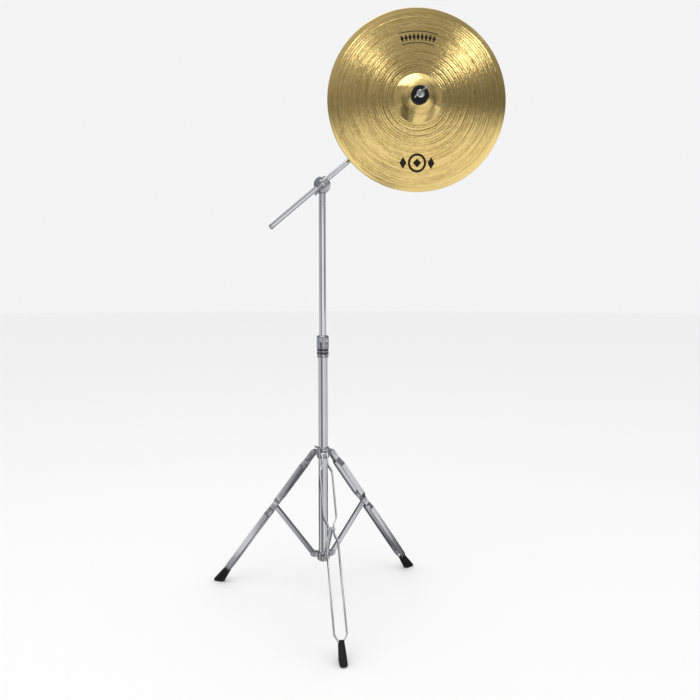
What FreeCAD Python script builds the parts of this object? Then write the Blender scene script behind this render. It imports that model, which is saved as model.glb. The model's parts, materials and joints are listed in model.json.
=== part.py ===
"""Crash cymbal on its boom stand: one STEP file for each separate piece.

The pieces are built about the stand's own axis, with the floor at z = 0, and are then moved together so
that the origin lies under the middle of the whole object. The cymbal faces -Y. Lengths are in millimetres.
"""
import FreeCAD
import Part
import math
import os

V = FreeCAD.Vector
X_AXIS = V(1, 0, 0)
Y_AXIS = V(0, 1, 0)
Z_AXIS = V(0, 0, 1)
FULL_TURN = 360.0

# Place of the stand's axis, measured from the origin at the middle of the object's box.
STAND_AXIS = V(-70.0, 66.0, 0)

# Clearances
RUNNING_GAP = 0.08       # radial gap where one piece turns or slides in another
FACE_GAP = 0.3           # gap between faces that turn past each other

# Tubes
BASE_TUBE_R = 12.7
BASE_TUBE_BORE_R = 11.1
BASE_TUBE_BOTTOM = 116.0
BASE_TUBE_TOP = 690.0
UPPER_TUBE_R = 9.5
UPPER_TUBE_BORE_R = 8.3
UPPER_TUBE_BOTTOM = 490.0
UPPER_TUBE_TOP = 1109.4

# Tripod
LEG_AZIMUTHS = {"front": -82.4, "left": 157.6, "right": 37.6}
FOOT_R = 335.0
LEG_PIVOT_R = 27.5
LEG_PIVOT_Z = 413.0
BRACE_FOOT_R = 30.0
BRACE_FOOT_Z = 125.0
BRACE_TOP_R = 149.0
BRACE_TOP_Z = 250.0
LEG_TO_BRACE = math.hypot(BRACE_TOP_R - LEG_PIVOT_R, LEG_PIVOT_Z - BRACE_TOP_Z)
BRACE_LENGTH = math.hypot(BRACE_TOP_R - BRACE_FOOT_R, BRACE_TOP_Z - BRACE_FOOT_Z)
STRIP_WIDTH = 15.0
STRIP_THICK = 3.0
STRIP_END = 500.0        # along the leg, from its top pivot
PINCH_IN = 5.25          # inner face of a strip where it is pinched onto a lug or a brace
SPREAD_UPPER = 15.0      # inner face of a strip between its two upper pivots
SPREAD_LOWER = 13.5      # the same, between the brace and the foot
FOOT_PINCH_IN = 2.0
BEND_LENGTH = 27.0       # a strip's bend from pinched to spread
TOP_PINCH = 25.0         # the length that stays pinched below the top pivot
PINCH_HALF = 8.0         # half the length that stays pinched at the brace
FOOT_PINCH_START = 474.0
FOOT_RIVET = 486.0       # along the leg, inside the rubber foot
PIVOT_RIVET_R = 3.0
BRACE_WIDTH = 8.0
BRACE_DEPTH = 13.0
BRACE_WALL = 1.5
BRACE_RIVET_R = 2.5
EAR_THICK = 3.0
COLLAR_R = 16.5
SLIDING_COLLAR_BOTTOM = 399.0
SLIDING_COLLAR_TOP = 430.0
LOWER_COLLAR_BOTTOM = 112.0
LOWER_COLLAR_TOP = 136.0
COLLAR_EDGE_R = 2.5       # the rounding of both collars' rims
COLLAR_BOLT_AZIMUTH = 97.6
COLLAR_BOLT_Z = 415.0
COLLAR_BOLT_R = 3.0
COLLAR_BOSS_R = 6.5
COLLAR_BOSS_END = 23.0
BRACE_SIDE_GAP = 0.25    # between a brace and the ear beside it
PIVOT_HEAD = (5.2, 2.2)  # each rivet head's radius and height
LEG_HEAD = (4.8, 2.0)
EAR_HEAD = (4.4, 1.8)
LOWER_SCREW_R = 2.0
LOWER_SCREW_HEAD = (3.4, 1.6)

# A rubber foot's outline: (along the leg, depth, width, corner radius)
FOOT_SECTIONS = (
    (463.0, 19.0, 13.0, 4.0),
    (480.0, 22.0, 16.0, 5.0),
    (505.0, 27.0, 18.5, 6.5),
    (540.0, 31.0, 20.0, 7.0),
)
FOOT_SOLE_EDGE_R = 3.5

# Height clamp and memory lock
CLAMP_R = 15.6
CLAMP_BOTTOM = 675.0
CLAMP_TOP = 693.4
CLAMP_RING_BOTTOM = 686.0
CLAMP_RING_TOP = 690.0
CLAMP_RING_IN_R = 14.4
CLAMP_EDGE_R = 2.6
CLAMP_BOLT_Z = 682.5
CLAMP_BOLT_R = 3.0
CLAMP_BOSS_R = 6.8
CLAMP_BOSS_END = 25.0
BUSH_FLANGE_TOP = 698.5
BUSH_BOTTOM = 655.0
LOCK_R = 16.4
LOCK_TOP = 735.0
LOCK_EDGE_R = 5.5
LOCK_LINE = (701.8, 702.6)        # the bottom and top of the line cut round it
LOCK_LINE_DEPTH = 0.7
LOCK_SPLIT = (-2.6, -1.0)         # the split's two sides, across the front
LOCK_RECESS = (-8.0, 0.5)         # the recess's two sides, across the front
LOCK_RECESS_Y = -11.0
LOCK_SCREW_Z = 719.0
LOCK_SCREW_Y = -11.6
LOCK_SCREW_R = 1.6
LOCK_SCREW_HEAD_R = 3.4
LOCK_SCREW_X = (-10.0, 8.0, 13.0)  # its point, the seat of its head, and the top of its head

# Boom tilter: a pair of toothed discs on the Y axis, and the eyebolt that holds the rod in front of them
BOOM_Z = 1133.0
BOOM_DISC_R = 21.8
BOOM_DISC_THICK = 8.5
BOOM_FACE_Y = -0.5       # the fixed half's meeting face
TILTER_TOOTH_COUNT = 30
PLUG_BOTTOM = 1070.0
NECK_R = 10.3
SADDLE_HALF_WIDTH = 10.6
SADDLE_EDGE_R = 4.0
SOCKET_SCREWS = ((1089.0, -104.0), (1079.0, -96.0))  # each screw's height and azimuth
SOCKET_SCREW_R = 1.6
SOCKET_SCREW_LENGTH = 4.5
SOCKET_SCREW_HEAD = (2.3, 1.0)
BOOM_ELEVATION = 40.0
ROD_Y = -25.0
ROD_R = 6.35
ROD_BORE_R = 5.15
ROD_BACK = 172.0         # from the tilter back to the end cap
ROD_FRONT = 275.0        # from the tilter to the cymbal tilter's hinge
SLEEVE_R = 8.2
SLEEVE_HALF = 17.0
EYE_R = 12.6
EYE_HALF = 3.8
EYEBOLT_R = 4.0
EYEBOLT_END_Y = 26.0
EYE_EDGE_R = 1.2
BOOM_WINGS_TURN = 49.0   # how the wing nut is left turned, from level
CAP_OVERLAP = 7.0        # the cap's length outside the rod
CAP_PLUG_END = 25.0

# Cymbal tilter, in its own directions: along the boom, along the hinge, and forwards along the stem
HINGE_DISC_R = 21.5
HINGE_DISC_THICK = 9.2
HINGE_BOLT_R = 4.0
ROD_SOCKET_END = -28.0   # where the boom rod ends inside the neck
ROD_SOCKET_START = -54.0
NECK_RIVET_R = 1.8
NECK_RIVET_LENGTH = 7.0
NECK_RIVET_HEAD = (2.8, 1.1)
BRIDGE_HALF = 9.5
ARM_REACH = 41.0         # from the hinge to the stem
STEM_R = 7.0
STEM_END = 44.0
STUD_R = 4.0
STUD_END = 112.0
STUD_GRIP = 22.0         # the threaded rod's length inside the stem
ARM_LOW = -13.0          # the arm's lower and upper sides, along the stem
ARM_HIGH = 16.0
CUP_END = 50.0
FELT_R = 22.8
FELT_HOLE_R = 6.0
LOWER_FELT_END = 70.3
HOLE_PLANE = 72.0
UPPER_FELT_START = 72.5
UPPER_FELT_END = 93.0
THREAD_PITCH = 1.25

# Cymbal
CYMBAL_R = 228.6
CYMBAL_THICK = 1.05
CYMBAL_HOLE_R = 6.25
BELL_R = 61.5
BELL_HEIGHT = 21.0
BOW_SLOPE_START = 3.5
BOW_SLOPE_END = 9.5

# Wing bolts and nuts: hub radius, hub length, wing span, wing rise, wing tip radius
COLLAR_WINGS = (6.0, 11.0, 42.0, 19.0, 6.5)
HEIGHT_WINGS = (6.2, 11.0, 44.0, 20.0, 7.0)
BOOM_WINGS = (8.0, 12.0, 61.0, 24.0, 8.0)
TILTER_WINGS = (7.0, 11.0, 42.0, 19.0, 7.0)
TOP_WINGS = (6.8, 11.0, 42.0, 19.0, 6.5)
BOOM_FLANGE_R = 10.5
TOP_FLANGE_R = 10.0


# ---------------------------------------------------------------- helpers

def frame(origin, x_dir, z_dir):
    """The placement that carries a local frame's origin, x and z to the given point and directions."""
    rotation = FreeCAD.Rotation(x_dir, z_dir.cross(x_dir), z_dir, "ZXY")
    return FreeCAD.Placement(origin, rotation)


def put(shape, placement):
    """A copy of the shape carried into a frame."""
    copy = shape.copy()
    copy.Placement = placement.multiply(copy.Placement)
    return copy


def turned_about_z(shape, degrees):
    """A copy of the shape turned about the stand's axis."""
    copy = shape.copy()
    copy.rotate(V(0, 0, 0), Z_AXIS, degrees)
    return copy


def rod(radius, start, end):
    """A solid cylinder between two points."""
    span = end - start
    return Part.makeCylinder(radius, span.Length, start, span)


def tube(outer, inner, start, end):
    """A hollow cylinder between two points."""
    return rod(outer, start, end).cut(rod(inner, start, end))


def tube_local(outer, inner, start, end):
    """A hollow cylinder along local z."""
    return tube(outer, inner, V(0, 0, start), V(0, 0, end))


def block(low, high):
    """A box between two corners."""
    size = high - low
    return Part.makeBox(size.x, size.y, size.z, low)


def lathe(points):
    """A solid of revolution about local z from (radius, z) points joined by straight lines."""
    corners = [V(radius, 0, height) for radius, height in points]
    wire = Part.makePolygon(corners + [corners[0]])
    return Part.Face(wire).revolve(V(0, 0, 0), Z_AXIS, FULL_TURN)


def circular_edges(shape, radius):
    """The shape's circular edges of one radius."""
    tolerance = 1e-3
    found = []
    for edge in shape.Edges:
        if isinstance(edge.Curve, Part.Circle) and abs(edge.Curve.Radius - radius) < tolerance:
            found.append(edge)
    return found


def domed_head(size, seat):
    """A rivet's or screw's domed head along local z, from its (radius, height) and its seat's z."""
    radius, height = size
    head = Part.makeCylinder(radius, height, V(0, 0, seat))
    dome = height * 0.8
    return head.makeFillet(dome, [max(head.Edges, key=lambda edge: edge.CenterOfMass.z)])


def rivet(shank_r, grip, head_size):
    """A rivet along local z, with the grip centred on the origin and a domed head at each end."""
    shank = Part.makeCylinder(shank_r, grip, V(0, 0, -grip / 2))
    head = domed_head(head_size, grip / 2)
    other = head.mirror(V(0, 0, 0), Z_AXIS)
    return shank.fuse([head, other])


def stub(shank_r, reach, head_size):
    """Half a rivet along local z: a domed head above the origin and a shank that reaches below it."""
    shank = Part.makeCylinder(shank_r, reach, V(0, 0, -reach))
    return shank.fuse(domed_head(head_size, 0))


def threaded_rod(radius, start, thread_start, end):
    """A rod along local z with annular thread grooves on its last stretch."""
    depth = 0.55
    points = [(0, start), (radius, start)]
    ridge_count = int((end - thread_start) / THREAD_PITCH)
    for ridge in range(ridge_count):
        height = thread_start + ridge * THREAD_PITCH
        points.append((radius, height + THREAD_PITCH * 0.1))
        points.append((radius - depth, height + THREAD_PITCH * 0.5))
        points.append((radius, height + THREAD_PITCH * 0.9))
    points.append((radius - depth, end))
    points.append((0, end))
    return lathe(points)


def wings(span, rise, lobe_r, thick, root_low, root_high):
    """A pair of rounded wings in the local xz plane that rise away from the origin."""
    pair = []
    for side in (-1, 1):
        tip_x = side * (span / 2 - lobe_r)
        tip_z = rise - lobe_r
        lobe = Part.makeCylinder(lobe_r, thick, V(tip_x, -thick / 2, tip_z), Y_AXIS)
        corners = [
            V(0, -thick / 2, root_low),
            V(tip_x + side * lobe_r * 0.6, -thick / 2, tip_z - lobe_r * 0.8),
            V(tip_x - side * lobe_r * 0.6, -thick / 2, tip_z + lobe_r * 0.8),
            V(0, -thick / 2, root_high),
        ]
        web = Part.Face(Part.makePolygon(corners + [corners[0]])).extrude(V(0, thick, 0))
        pair.append(lobe.fuse(web))
    return pair[0].fuse(pair[1])


def softened_hub(radius, length, edge_radius):
    """A wing nut's round hub along local z, with its outer end rounded."""
    hub = Part.makeCylinder(radius, length)
    top_edge = max(hub.Edges, key=lambda edge: edge.CenterOfMass.z)
    return hub.makeFillet(edge_radius, [top_edge])


def wing_bolt(shank_r, shank_length, size):
    """A wing bolt: its seat is at the origin, its shank points along -z and its wings rise along +z."""
    hub_r, hub_length, span, rise, lobe_r = size
    thick = 4.0
    grip = wings(span, rise, lobe_r, thick, hub_length * 0.1, hub_length * 0.9)
    hub = softened_hub(hub_r, hub_length, hub_r * 0.4)
    shank = Part.makeCylinder(shank_r, shank_length, V(0, 0, -shank_length))
    return hub.fuse([grip, shank]).removeSplitter()


def wing_nut(bore_r, flange_r, size):
    """A wing nut whose flanged seat is at the origin and whose wings rise along +z."""
    hub_r, hub_length, span, rise, lobe_r = size
    thick = 4.5
    flange_height = 2.0
    grip = wings(span, rise, lobe_r, thick, hub_length * 0.1, hub_length * 0.9)
    hub = softened_hub(hub_r, hub_length, hub_r * 0.3)
    flange = Part.makeCylinder(flange_r, flange_height)
    body = hub.fuse([grip, flange]).removeSplitter()
    return body.cut(Part.makeCylinder(bore_r, rise + hub_length, V(0, 0, -hub_length / 2)))


def toothed_disc(radius, thick, bore_r, tooth_count):
    """A disc on local z with a toothed rim; its meeting face lies at z = 0 and has radial grooves."""
    groove_depth = 0.8
    groove_half = 0.7
    groove_start = radius * 0.45
    notch_r = 1.1
    notch_length = thick * 0.45
    notch_centre = radius + notch_r * 0.35
    disc = Part.makeCylinder(radius, thick)
    cutters = []
    for tooth in range(tooth_count):
        angle = FULL_TURN * tooth / tooth_count
        groove = block(V(groove_start, -groove_half, -groove_depth), V(radius + 1, groove_half, groove_depth))
        notch = Part.makeCylinder(notch_r, notch_length, V(notch_centre, 0, 0))
        for cutter in (groove, notch):
            cutter.rotate(V(0, 0, 0), Z_AXIS, angle)
            cutters.append(cutter)
    cutters.append(Part.makeCylinder(bore_r, thick * 3, V(0, 0, -thick)))
    return disc.cut(cutters)


# ---------------------------------------------------------------- tripod

def leg_frame():
    """The frame of a leg at azimuth 0: its origin is the top pivot, with x along the leg and y across it."""
    pivot = V(LEG_PIVOT_R, 0, LEG_PIVOT_Z)
    along = (V(FOOT_R, 0, 0) - pivot).normalize()
    return frame(pivot, along, along.cross(Y_AXIS))


def brace_frame():
    """The frame of a brace at azimuth 0: x from the lower pivot to the leg, y across."""
    foot = V(BRACE_FOOT_R, 0, BRACE_FOOT_Z)
    along = (V(BRACE_TOP_R, 0, BRACE_TOP_Z) - foot).normalize()
    return frame(foot, along, along.cross(Y_AXIS))


def strip_side(offset):
    """The edges of one side of a strip's outline, from its top end to its foot."""
    upper_start = TOP_PINCH
    upper_end = LEG_TO_BRACE - PINCH_HALF
    lower_start = LEG_TO_BRACE + PINCH_HALF
    lower_end = FOOT_PINCH_START
    stations = [
        (-STRIP_WIDTH / 2, PINCH_IN),
        (upper_start, PINCH_IN),
        (upper_start + BEND_LENGTH, SPREAD_UPPER),
        (upper_end - BEND_LENGTH, SPREAD_UPPER),
        (upper_end, PINCH_IN),
        (lower_start, PINCH_IN),
        (lower_start + BEND_LENGTH, SPREAD_LOWER),
        (lower_end - BEND_LENGTH, SPREAD_LOWER),
        (lower_end, FOOT_PINCH_IN),
        (STRIP_END, FOOT_PINCH_IN),
    ]
    edges = []
    for (along, across), (next_along, next_across) in zip(stations, stations[1:]):
        start = V(along, across + offset, 0)
        end = V(next_along, next_across + offset, 0)
        if across == next_across:
            edges.append(Part.LineSegment(start, end).toShape())
        else:
            third = (next_along - along) / 3
            bend = Part.BezierCurve()
            bend.setPoles([start, V(along + third, start.y, 0), V(next_along - third, end.y, 0), end])
            edges.append(bend.toShape())
    return edges


def leg_strip(side):
    """One bent strip of a leg in the leg's frame, on the +y side (side = 1) or the -y side (side = -1)."""
    inner = strip_side(0)
    outer = strip_side(STRIP_THICK)
    caps = [
        Part.LineSegment(inner[0].Vertexes[0].Point, outer[0].Vertexes[0].Point).toShape(),
        Part.LineSegment(inner[-1].Vertexes[-1].Point, outer[-1].Vertexes[-1].Point).toShape(),
    ]
    wire = Part.Wire(Part.__sortEdges__(inner + outer + caps))
    strip = Part.Face(wire).extrude(V(0, 0, STRIP_WIDTH))
    strip.translate(V(0, 0, -STRIP_WIDTH / 2))
    half = STRIP_WIDTH / 2
    reach = SPREAD_UPPER + 2 * STRIP_THICK
    straight = block(V(0, 0, -half), V(STRIP_END, reach, half))
    round_end = Part.makeCylinder(half, reach, V(0, 0, 0), Y_AXIS)
    strip = strip.common(straight.fuse(round_end))
    holes = [
        Part.makeCylinder(PIVOT_RIVET_R + RUNNING_GAP, reach, V(0, 0, 0), Y_AXIS),
        Part.makeCylinder(BRACE_RIVET_R, reach, V(LEG_TO_BRACE, 0, 0), Y_AXIS),
        Part.makeCylinder(BRACE_RIVET_R, reach, V(FOOT_RIVET, 0, 0), Y_AXIS),
    ]
    strip = strip.cut(holes)
    if side < 0:
        strip = strip.mirror(V(0, 0, 0), Y_AXIS)
    return strip


def leg_rivets():
    """The rivets that ride on a leg: a stub in each strip at the brace, and one through both at the foot."""
    outer = PINCH_IN + STRIP_THICK
    reach = STRIP_THICK + 1.0
    upward = stub(BRACE_RIVET_R, reach, LEG_HEAD)
    first = put(upward, frame(V(LEG_TO_BRACE, outer, 0), X_AXIS, Y_AXIS))
    second = put(upward, frame(V(LEG_TO_BRACE, -outer, 0), X_AXIS, -Y_AXIS))
    grip = 2 * (FOOT_PINCH_IN + STRIP_THICK)
    through = rivet(BRACE_RIVET_R, grip, LEG_HEAD)
    third = put(through, frame(V(FOOT_RIVET, 0, 0), X_AXIS, Y_AXIS))
    return Part.makeCompound([first, second, third])


def rounded_section(station, deep, wide, corner):
    """A rounded rectangle square to the leg, at a station along it."""
    outline = block(V(station, -wide / 2, -deep / 2), V(station + 1, wide / 2, deep / 2))
    along_edges = [edge for edge in outline.Edges if abs(edge.tangentAt(edge.FirstParameter).x) > 0.5]
    solid = outline.makeFillet(corner, along_edges)
    face = min(solid.Faces, key=lambda item: item.CenterOfMass.x)
    return face.OuterWire


def rubber_foot(contents):
    """A leg's rubber foot in the leg's frame: a boot over the strips' ends, with a flat sole."""
    sections = [rounded_section(*section) for section in FOOT_SECTIONS]
    boot = put(Part.makeLoft(sections, True, False), leg_frame())
    floor_half = 2 * FOOT_R
    boot = boot.cut(block(V(-floor_half, -floor_half, -floor_half), V(floor_half, floor_half, 0)))
    sole = min(boot.Faces, key=lambda face: face.CenterOfMass.z)
    boot = boot.makeFillet(FOOT_SOLE_EDGE_R, sole.Edges)
    return put(boot, leg_frame().inverse()).cut(contents)


def brace():
    """A brace in its own frame: a U channel with rounded ends and a hole at each pivot."""
    half_width = BRACE_WIDTH / 2
    half_depth = BRACE_DEPTH / 2
    long_side = BRACE_LENGTH
    bar = block(V(0, -half_width, -half_depth), V(long_side, half_width, half_depth))
    pivots = [V(place, -half_width, 0) for place in (0, long_side)]
    ends = [Part.makeCylinder(half_depth, BRACE_WIDTH, pivot, Y_AXIS) for pivot in pivots]
    bar = bar.fuse(ends).removeSplitter()
    inside_half = half_width - BRACE_WALL
    channel = block(V(-half_depth * 2, -inside_half, -half_depth * 2),
                    V(long_side + half_depth * 2, inside_half, half_depth - BRACE_WALL))
    hole_r = BRACE_RIVET_R + RUNNING_GAP
    holes = [Part.makeCylinder(hole_r, BRACE_WIDTH, pivot, Y_AXIS) for pivot in pivots]
    return bar.cut([channel] + holes)


def sliding_collar():
    """The collar that slides on the base tube and carries the legs on three lugs."""
    lug_half = 5.0
    lug_r = 7.5
    collar = rod(COLLAR_R, V(0, 0, SLIDING_COLLAR_BOTTOM), V(0, 0, SLIDING_COLLAR_TOP))
    collar = collar.makeFillet(COLLAR_EDGE_R, circular_edges(collar, COLLAR_R))
    additions = []
    for azimuth in LEG_AZIMUTHS.values():
        lug = block(V(BASE_TUBE_R + 1, -lug_half, LEG_PIVOT_Z - lug_r),
                    V(LEG_PIVOT_R, lug_half, LEG_PIVOT_Z + lug_r))
        nose = Part.makeCylinder(lug_r, 2 * lug_half, V(LEG_PIVOT_R, -lug_half, LEG_PIVOT_Z), Y_AXIS)
        additions.append(turned_about_z(lug.fuse(nose), azimuth))
    boss_length = COLLAR_BOSS_END - BASE_TUBE_R
    boss = Part.makeCylinder(COLLAR_BOSS_R, boss_length, V(BASE_TUBE_R, 0, COLLAR_BOLT_Z), X_AXIS)
    additions.append(turned_about_z(boss, COLLAR_BOLT_AZIMUTH))
    collar = collar.fuse(additions).removeSplitter()
    bore_start = V(0, 0, SLIDING_COLLAR_BOTTOM - 1)
    bore_end = V(0, 0, SLIDING_COLLAR_TOP + 1)
    cutters = [rod(BASE_TUBE_R + RUNNING_GAP, bore_start, bore_end)]
    for azimuth in LEG_AZIMUTHS.values():
        hole_start = V(LEG_PIVOT_R, -2 * lug_half, LEG_PIVOT_Z)
        hole = Part.makeCylinder(PIVOT_RIVET_R, 4 * lug_half, hole_start, Y_AXIS)
        cutters.append(turned_about_z(hole, azimuth))
    bolt_r = COLLAR_BOLT_R + RUNNING_GAP
    bolt_hole = Part.makeCylinder(bolt_r, COLLAR_BOSS_END, V(0, 0, COLLAR_BOLT_Z), X_AXIS)
    cutters.append(turned_about_z(bolt_hole, COLLAR_BOLT_AZIMUTH))
    return collar.cut(cutters)


def collar_wing_bolt():
    """The wing bolt that locks the sliding collar, with its wings left a little off level."""
    reach = COLLAR_BOSS_END - BASE_TUBE_R
    bolt = wing_bolt(COLLAR_BOLT_R, reach, COLLAR_WINGS)
    azimuth = math.radians(COLLAR_BOLT_AZIMUTH)
    direction = V(math.cos(azimuth), math.sin(azimuth), 0)
    seat = direction * (COLLAR_BOSS_END + FACE_GAP)
    seat.z = COLLAR_BOLT_Z
    level = Z_AXIS.cross(direction)
    tilted = (level + Z_AXIS * 0.45).normalize()
    return put(bolt, frame(seat, tilted, direction))


def top_pivot_rivets():
    """The three rivets through the sliding collar's lugs and the tops of the legs."""
    grip = 2 * (PINCH_IN + STRIP_THICK + 0.1)
    one = put(rivet(PIVOT_RIVET_R, grip, PIVOT_HEAD), frame(V(LEG_PIVOT_R, 0, LEG_PIVOT_Z), X_AXIS, Y_AXIS))
    return Part.makeCompound([turned_about_z(one, azimuth) for azimuth in LEG_AZIMUTHS.values()])


def lower_collar():
    """The cup fixed on the bottom of the base tube, with a pair of ears for each brace."""
    ear_in = BRACE_WIDTH / 2 + BRACE_SIDE_GAP
    ear_out = ear_in + EAR_THICK
    ear_r = 7.0
    collar = rod(COLLAR_R, V(0, 0, LOWER_COLLAR_BOTTOM), V(0, 0, LOWER_COLLAR_TOP))
    collar = collar.makeFillet(COLLAR_EDGE_R, circular_edges(collar, COLLAR_R))
    ears = []
    for azimuth in LEG_AZIMUTHS.values():
        for side in (-1, 1):
            low_y = min(side * ear_in, side * ear_out)
            plate = block(V(BASE_TUBE_R, low_y, BRACE_FOOT_Z - ear_r),
                          V(BRACE_FOOT_R, low_y + EAR_THICK, BRACE_FOOT_Z + ear_r))
            nose = Part.makeCylinder(ear_r, EAR_THICK, V(BRACE_FOOT_R, low_y, BRACE_FOOT_Z), Y_AXIS)
            ears.append(turned_about_z(plate.fuse(nose), azimuth))
    collar = collar.fuse(ears).removeSplitter()
    cutters = [rod(BASE_TUBE_R, V(0, 0, BASE_TUBE_BOTTOM), V(0, 0, LOWER_COLLAR_TOP + 1))]
    for azimuth in LEG_AZIMUTHS.values():
        hole_start = V(BRACE_FOOT_R, -2 * ear_out, BRACE_FOOT_Z)
        hole = Part.makeCylinder(BRACE_RIVET_R, 4 * ear_out, hole_start, Y_AXIS)
        cutters.append(turned_about_z(hole, azimuth))
    cutters.append(lower_collar_screw())
    return collar.cut(cutters)


def lower_collar_screw():
    """The small dome-headed screw that fixes the lower collar to the base tube."""
    screw = stub(LOWER_SCREW_R, COLLAR_R - BASE_TUBE_BORE_R, LOWER_SCREW_HEAD)
    seat = V(COLLAR_R, 0, BRACE_FOOT_Z)
    return turned_about_z(put(screw, frame(seat, Z_AXIS, X_AXIS)), COLLAR_BOLT_AZIMUTH)


def brace_rivets():
    """The three rivets through the lower collar's ears and the feet of the braces."""
    grip = BRACE_WIDTH + 2 * BRACE_SIDE_GAP + 2 * EAR_THICK
    one = put(rivet(BRACE_RIVET_R, grip, EAR_HEAD), frame(V(BRACE_FOOT_R, 0, BRACE_FOOT_Z), X_AXIS, Y_AXIS))
    return Part.makeCompound([turned_about_z(one, azimuth) for azimuth in LEG_AZIMUTHS.values()])


def base_tube():
    """The lower tube, with the hole that lets the height bolt reach the bush."""
    body = tube(BASE_TUBE_R, BASE_TUBE_BORE_R, V(0, 0, BASE_TUBE_BOTTOM), V(0, 0, BASE_TUBE_TOP))
    bolt_r = CLAMP_BOLT_R + RUNNING_GAP
    bolt_hole = Part.makeCylinder(bolt_r, 2 * BASE_TUBE_R, V(0, 0, CLAMP_BOLT_Z), Y_AXIS)
    return body.cut([bolt_hole, lower_collar_screw()])


# ---------------------------------------------------------------- height clamp

def height_clamp():
    """The clamp cup on the top of the base tube, with a groove for its ring and a boss for its bolt."""
    cup = rod(CLAMP_R, V(0, 0, CLAMP_BOTTOM), V(0, 0, CLAMP_TOP))
    bottom_edge = min(circular_edges(cup, CLAMP_R), key=lambda edge: edge.CenterOfMass.z)
    cup = cup.makeFillet(CLAMP_EDGE_R, [bottom_edge])
    boss_length = CLAMP_BOSS_END - BASE_TUBE_R
    boss = Part.makeCylinder(CLAMP_BOSS_R, boss_length, V(0, BASE_TUBE_R, CLAMP_BOLT_Z), Y_AXIS)
    groove = tube_local(CLAMP_R + 1, CLAMP_RING_IN_R, CLAMP_RING_BOTTOM, CLAMP_RING_TOP)
    cup = cup.cut(groove).fuse(boss).removeSplitter()
    cutters = [
        rod(BASE_TUBE_R, V(0, 0, CLAMP_BOTTOM - 1), V(0, 0, BASE_TUBE_TOP)),
        rod(BASE_TUBE_BORE_R, V(0, 0, CLAMP_BOTTOM - 1), V(0, 0, CLAMP_TOP + 1)),
        Part.makeCylinder(CLAMP_BOLT_R + RUNNING_GAP, 2 * CLAMP_BOSS_END, V(0, 0, CLAMP_BOLT_Z), Y_AXIS),
    ]
    return cup.cut(cutters)


def clamp_ring():
    """The black ring in the clamp's groove, notched where it meets the boss."""
    ring = tube(CLAMP_R + 0.3, CLAMP_RING_IN_R, V(0, 0, CLAMP_RING_BOTTOM), V(0, 0, CLAMP_RING_TOP))
    boss_space = Part.makeCylinder(CLAMP_BOSS_R, CLAMP_BOSS_END, V(0, 0, CLAMP_BOLT_Z), Y_AXIS)
    return ring.cut(boss_space)


def height_wing_bolt():
    """The wing bolt that locks the height, behind the tube, with its wings upright."""
    reach = CLAMP_BOSS_END - BASE_TUBE_BORE_R
    bolt = wing_bolt(CLAMP_BOLT_R, reach, HEIGHT_WINGS)
    return put(bolt, frame(V(0, CLAMP_BOSS_END + FACE_GAP, CLAMP_BOLT_Z), Z_AXIS, Y_AXIS))


def height_bushing():
    """The flanged nylon bush that guides the upper tube inside the base tube."""
    outer = BASE_TUBE_BORE_R - RUNNING_GAP
    flange = rod(CLAMP_R - 0.2, V(0, 0, CLAMP_TOP + 0.05), V(0, 0, BUSH_FLANGE_TOP))
    body = rod(outer, V(0, 0, BUSH_BOTTOM), V(0, 0, BUSH_FLANGE_TOP))
    bore = rod(UPPER_TUBE_R + RUNNING_GAP, V(0, 0, BUSH_BOTTOM - 1), V(0, 0, BUSH_FLANGE_TOP + 1))
    return flange.fuse(body).cut(bore)


def memory_lock():
    """The memory lock ring above the clamp: split in front, with its screw set in a recess."""
    bottom = BUSH_FLANGE_TOP + 0.05
    ring = rod(LOCK_R, V(0, 0, bottom), V(0, 0, LOCK_TOP))
    top_edge = max(circular_edges(ring, LOCK_R), key=lambda edge: edge.CenterOfMass.z)
    ring = ring.makeFillet(LOCK_EDGE_R, [top_edge])
    outside = -2 * LOCK_R
    recess_low = V(LOCK_RECESS[0], outside, LOCK_SCREW_Z - 12.0)
    recess_high = V(LOCK_RECESS[1], LOCK_RECESS_Y, LOCK_SCREW_Z + 11.0)
    cutters = [
        rod(UPPER_TUBE_R + RUNNING_GAP, V(0, 0, bottom - 1), V(0, 0, LOCK_TOP + 1)),
        block(recess_low, recess_high),
        block(V(LOCK_SPLIT[0], outside, bottom - 1), V(LOCK_SPLIT[1], 0, LOCK_TOP + 1)),
        tube_local(LOCK_R + 1, LOCK_R - LOCK_LINE_DEPTH, LOCK_LINE[0], LOCK_LINE[1]),
        memory_lock_screw(),
    ]
    return ring.cut(cutters)


def memory_lock_screw():
    """The screw that draws the memory lock's split together."""
    point, seat, top = [V(x, LOCK_SCREW_Y, LOCK_SCREW_Z) for x in LOCK_SCREW_X]
    shank = rod(LOCK_SCREW_R, point, seat)
    head = rod(LOCK_SCREW_HEAD_R, seat, top)
    return shank.fuse(head)


# ---------------------------------------------------------------- upper tube and boom tilter

def upper_tube():
    """The upper tube, drilled for the socket's two screws."""
    body = tube(UPPER_TUBE_R, UPPER_TUBE_BORE_R, V(0, 0, UPPER_TUBE_BOTTOM), V(0, 0, UPPER_TUBE_TOP))
    return body.cut(socket_screws())


def socket_screws():
    """The two small screws that hold the tilter's plug in the top of the upper tube."""
    screws = []
    for height, azimuth in SOCKET_SCREWS:
        screw = stub(SOCKET_SCREW_R, SOCKET_SCREW_LENGTH, SOCKET_SCREW_HEAD)
        screws.append(turned_about_z(put(screw, frame(V(UPPER_TUBE_R, 0, height), Z_AXIS, X_AXIS)), azimuth))
    return Part.makeCompound(screws)


def boom_centre(y):
    """A point on the boom tilter's axis."""
    return V(0, y, BOOM_Z)


def boom_direction():
    """The way the boom rod points at rest."""
    angle = math.radians(BOOM_ELEVATION)
    return V(math.cos(angle), 0, math.sin(angle))


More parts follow.
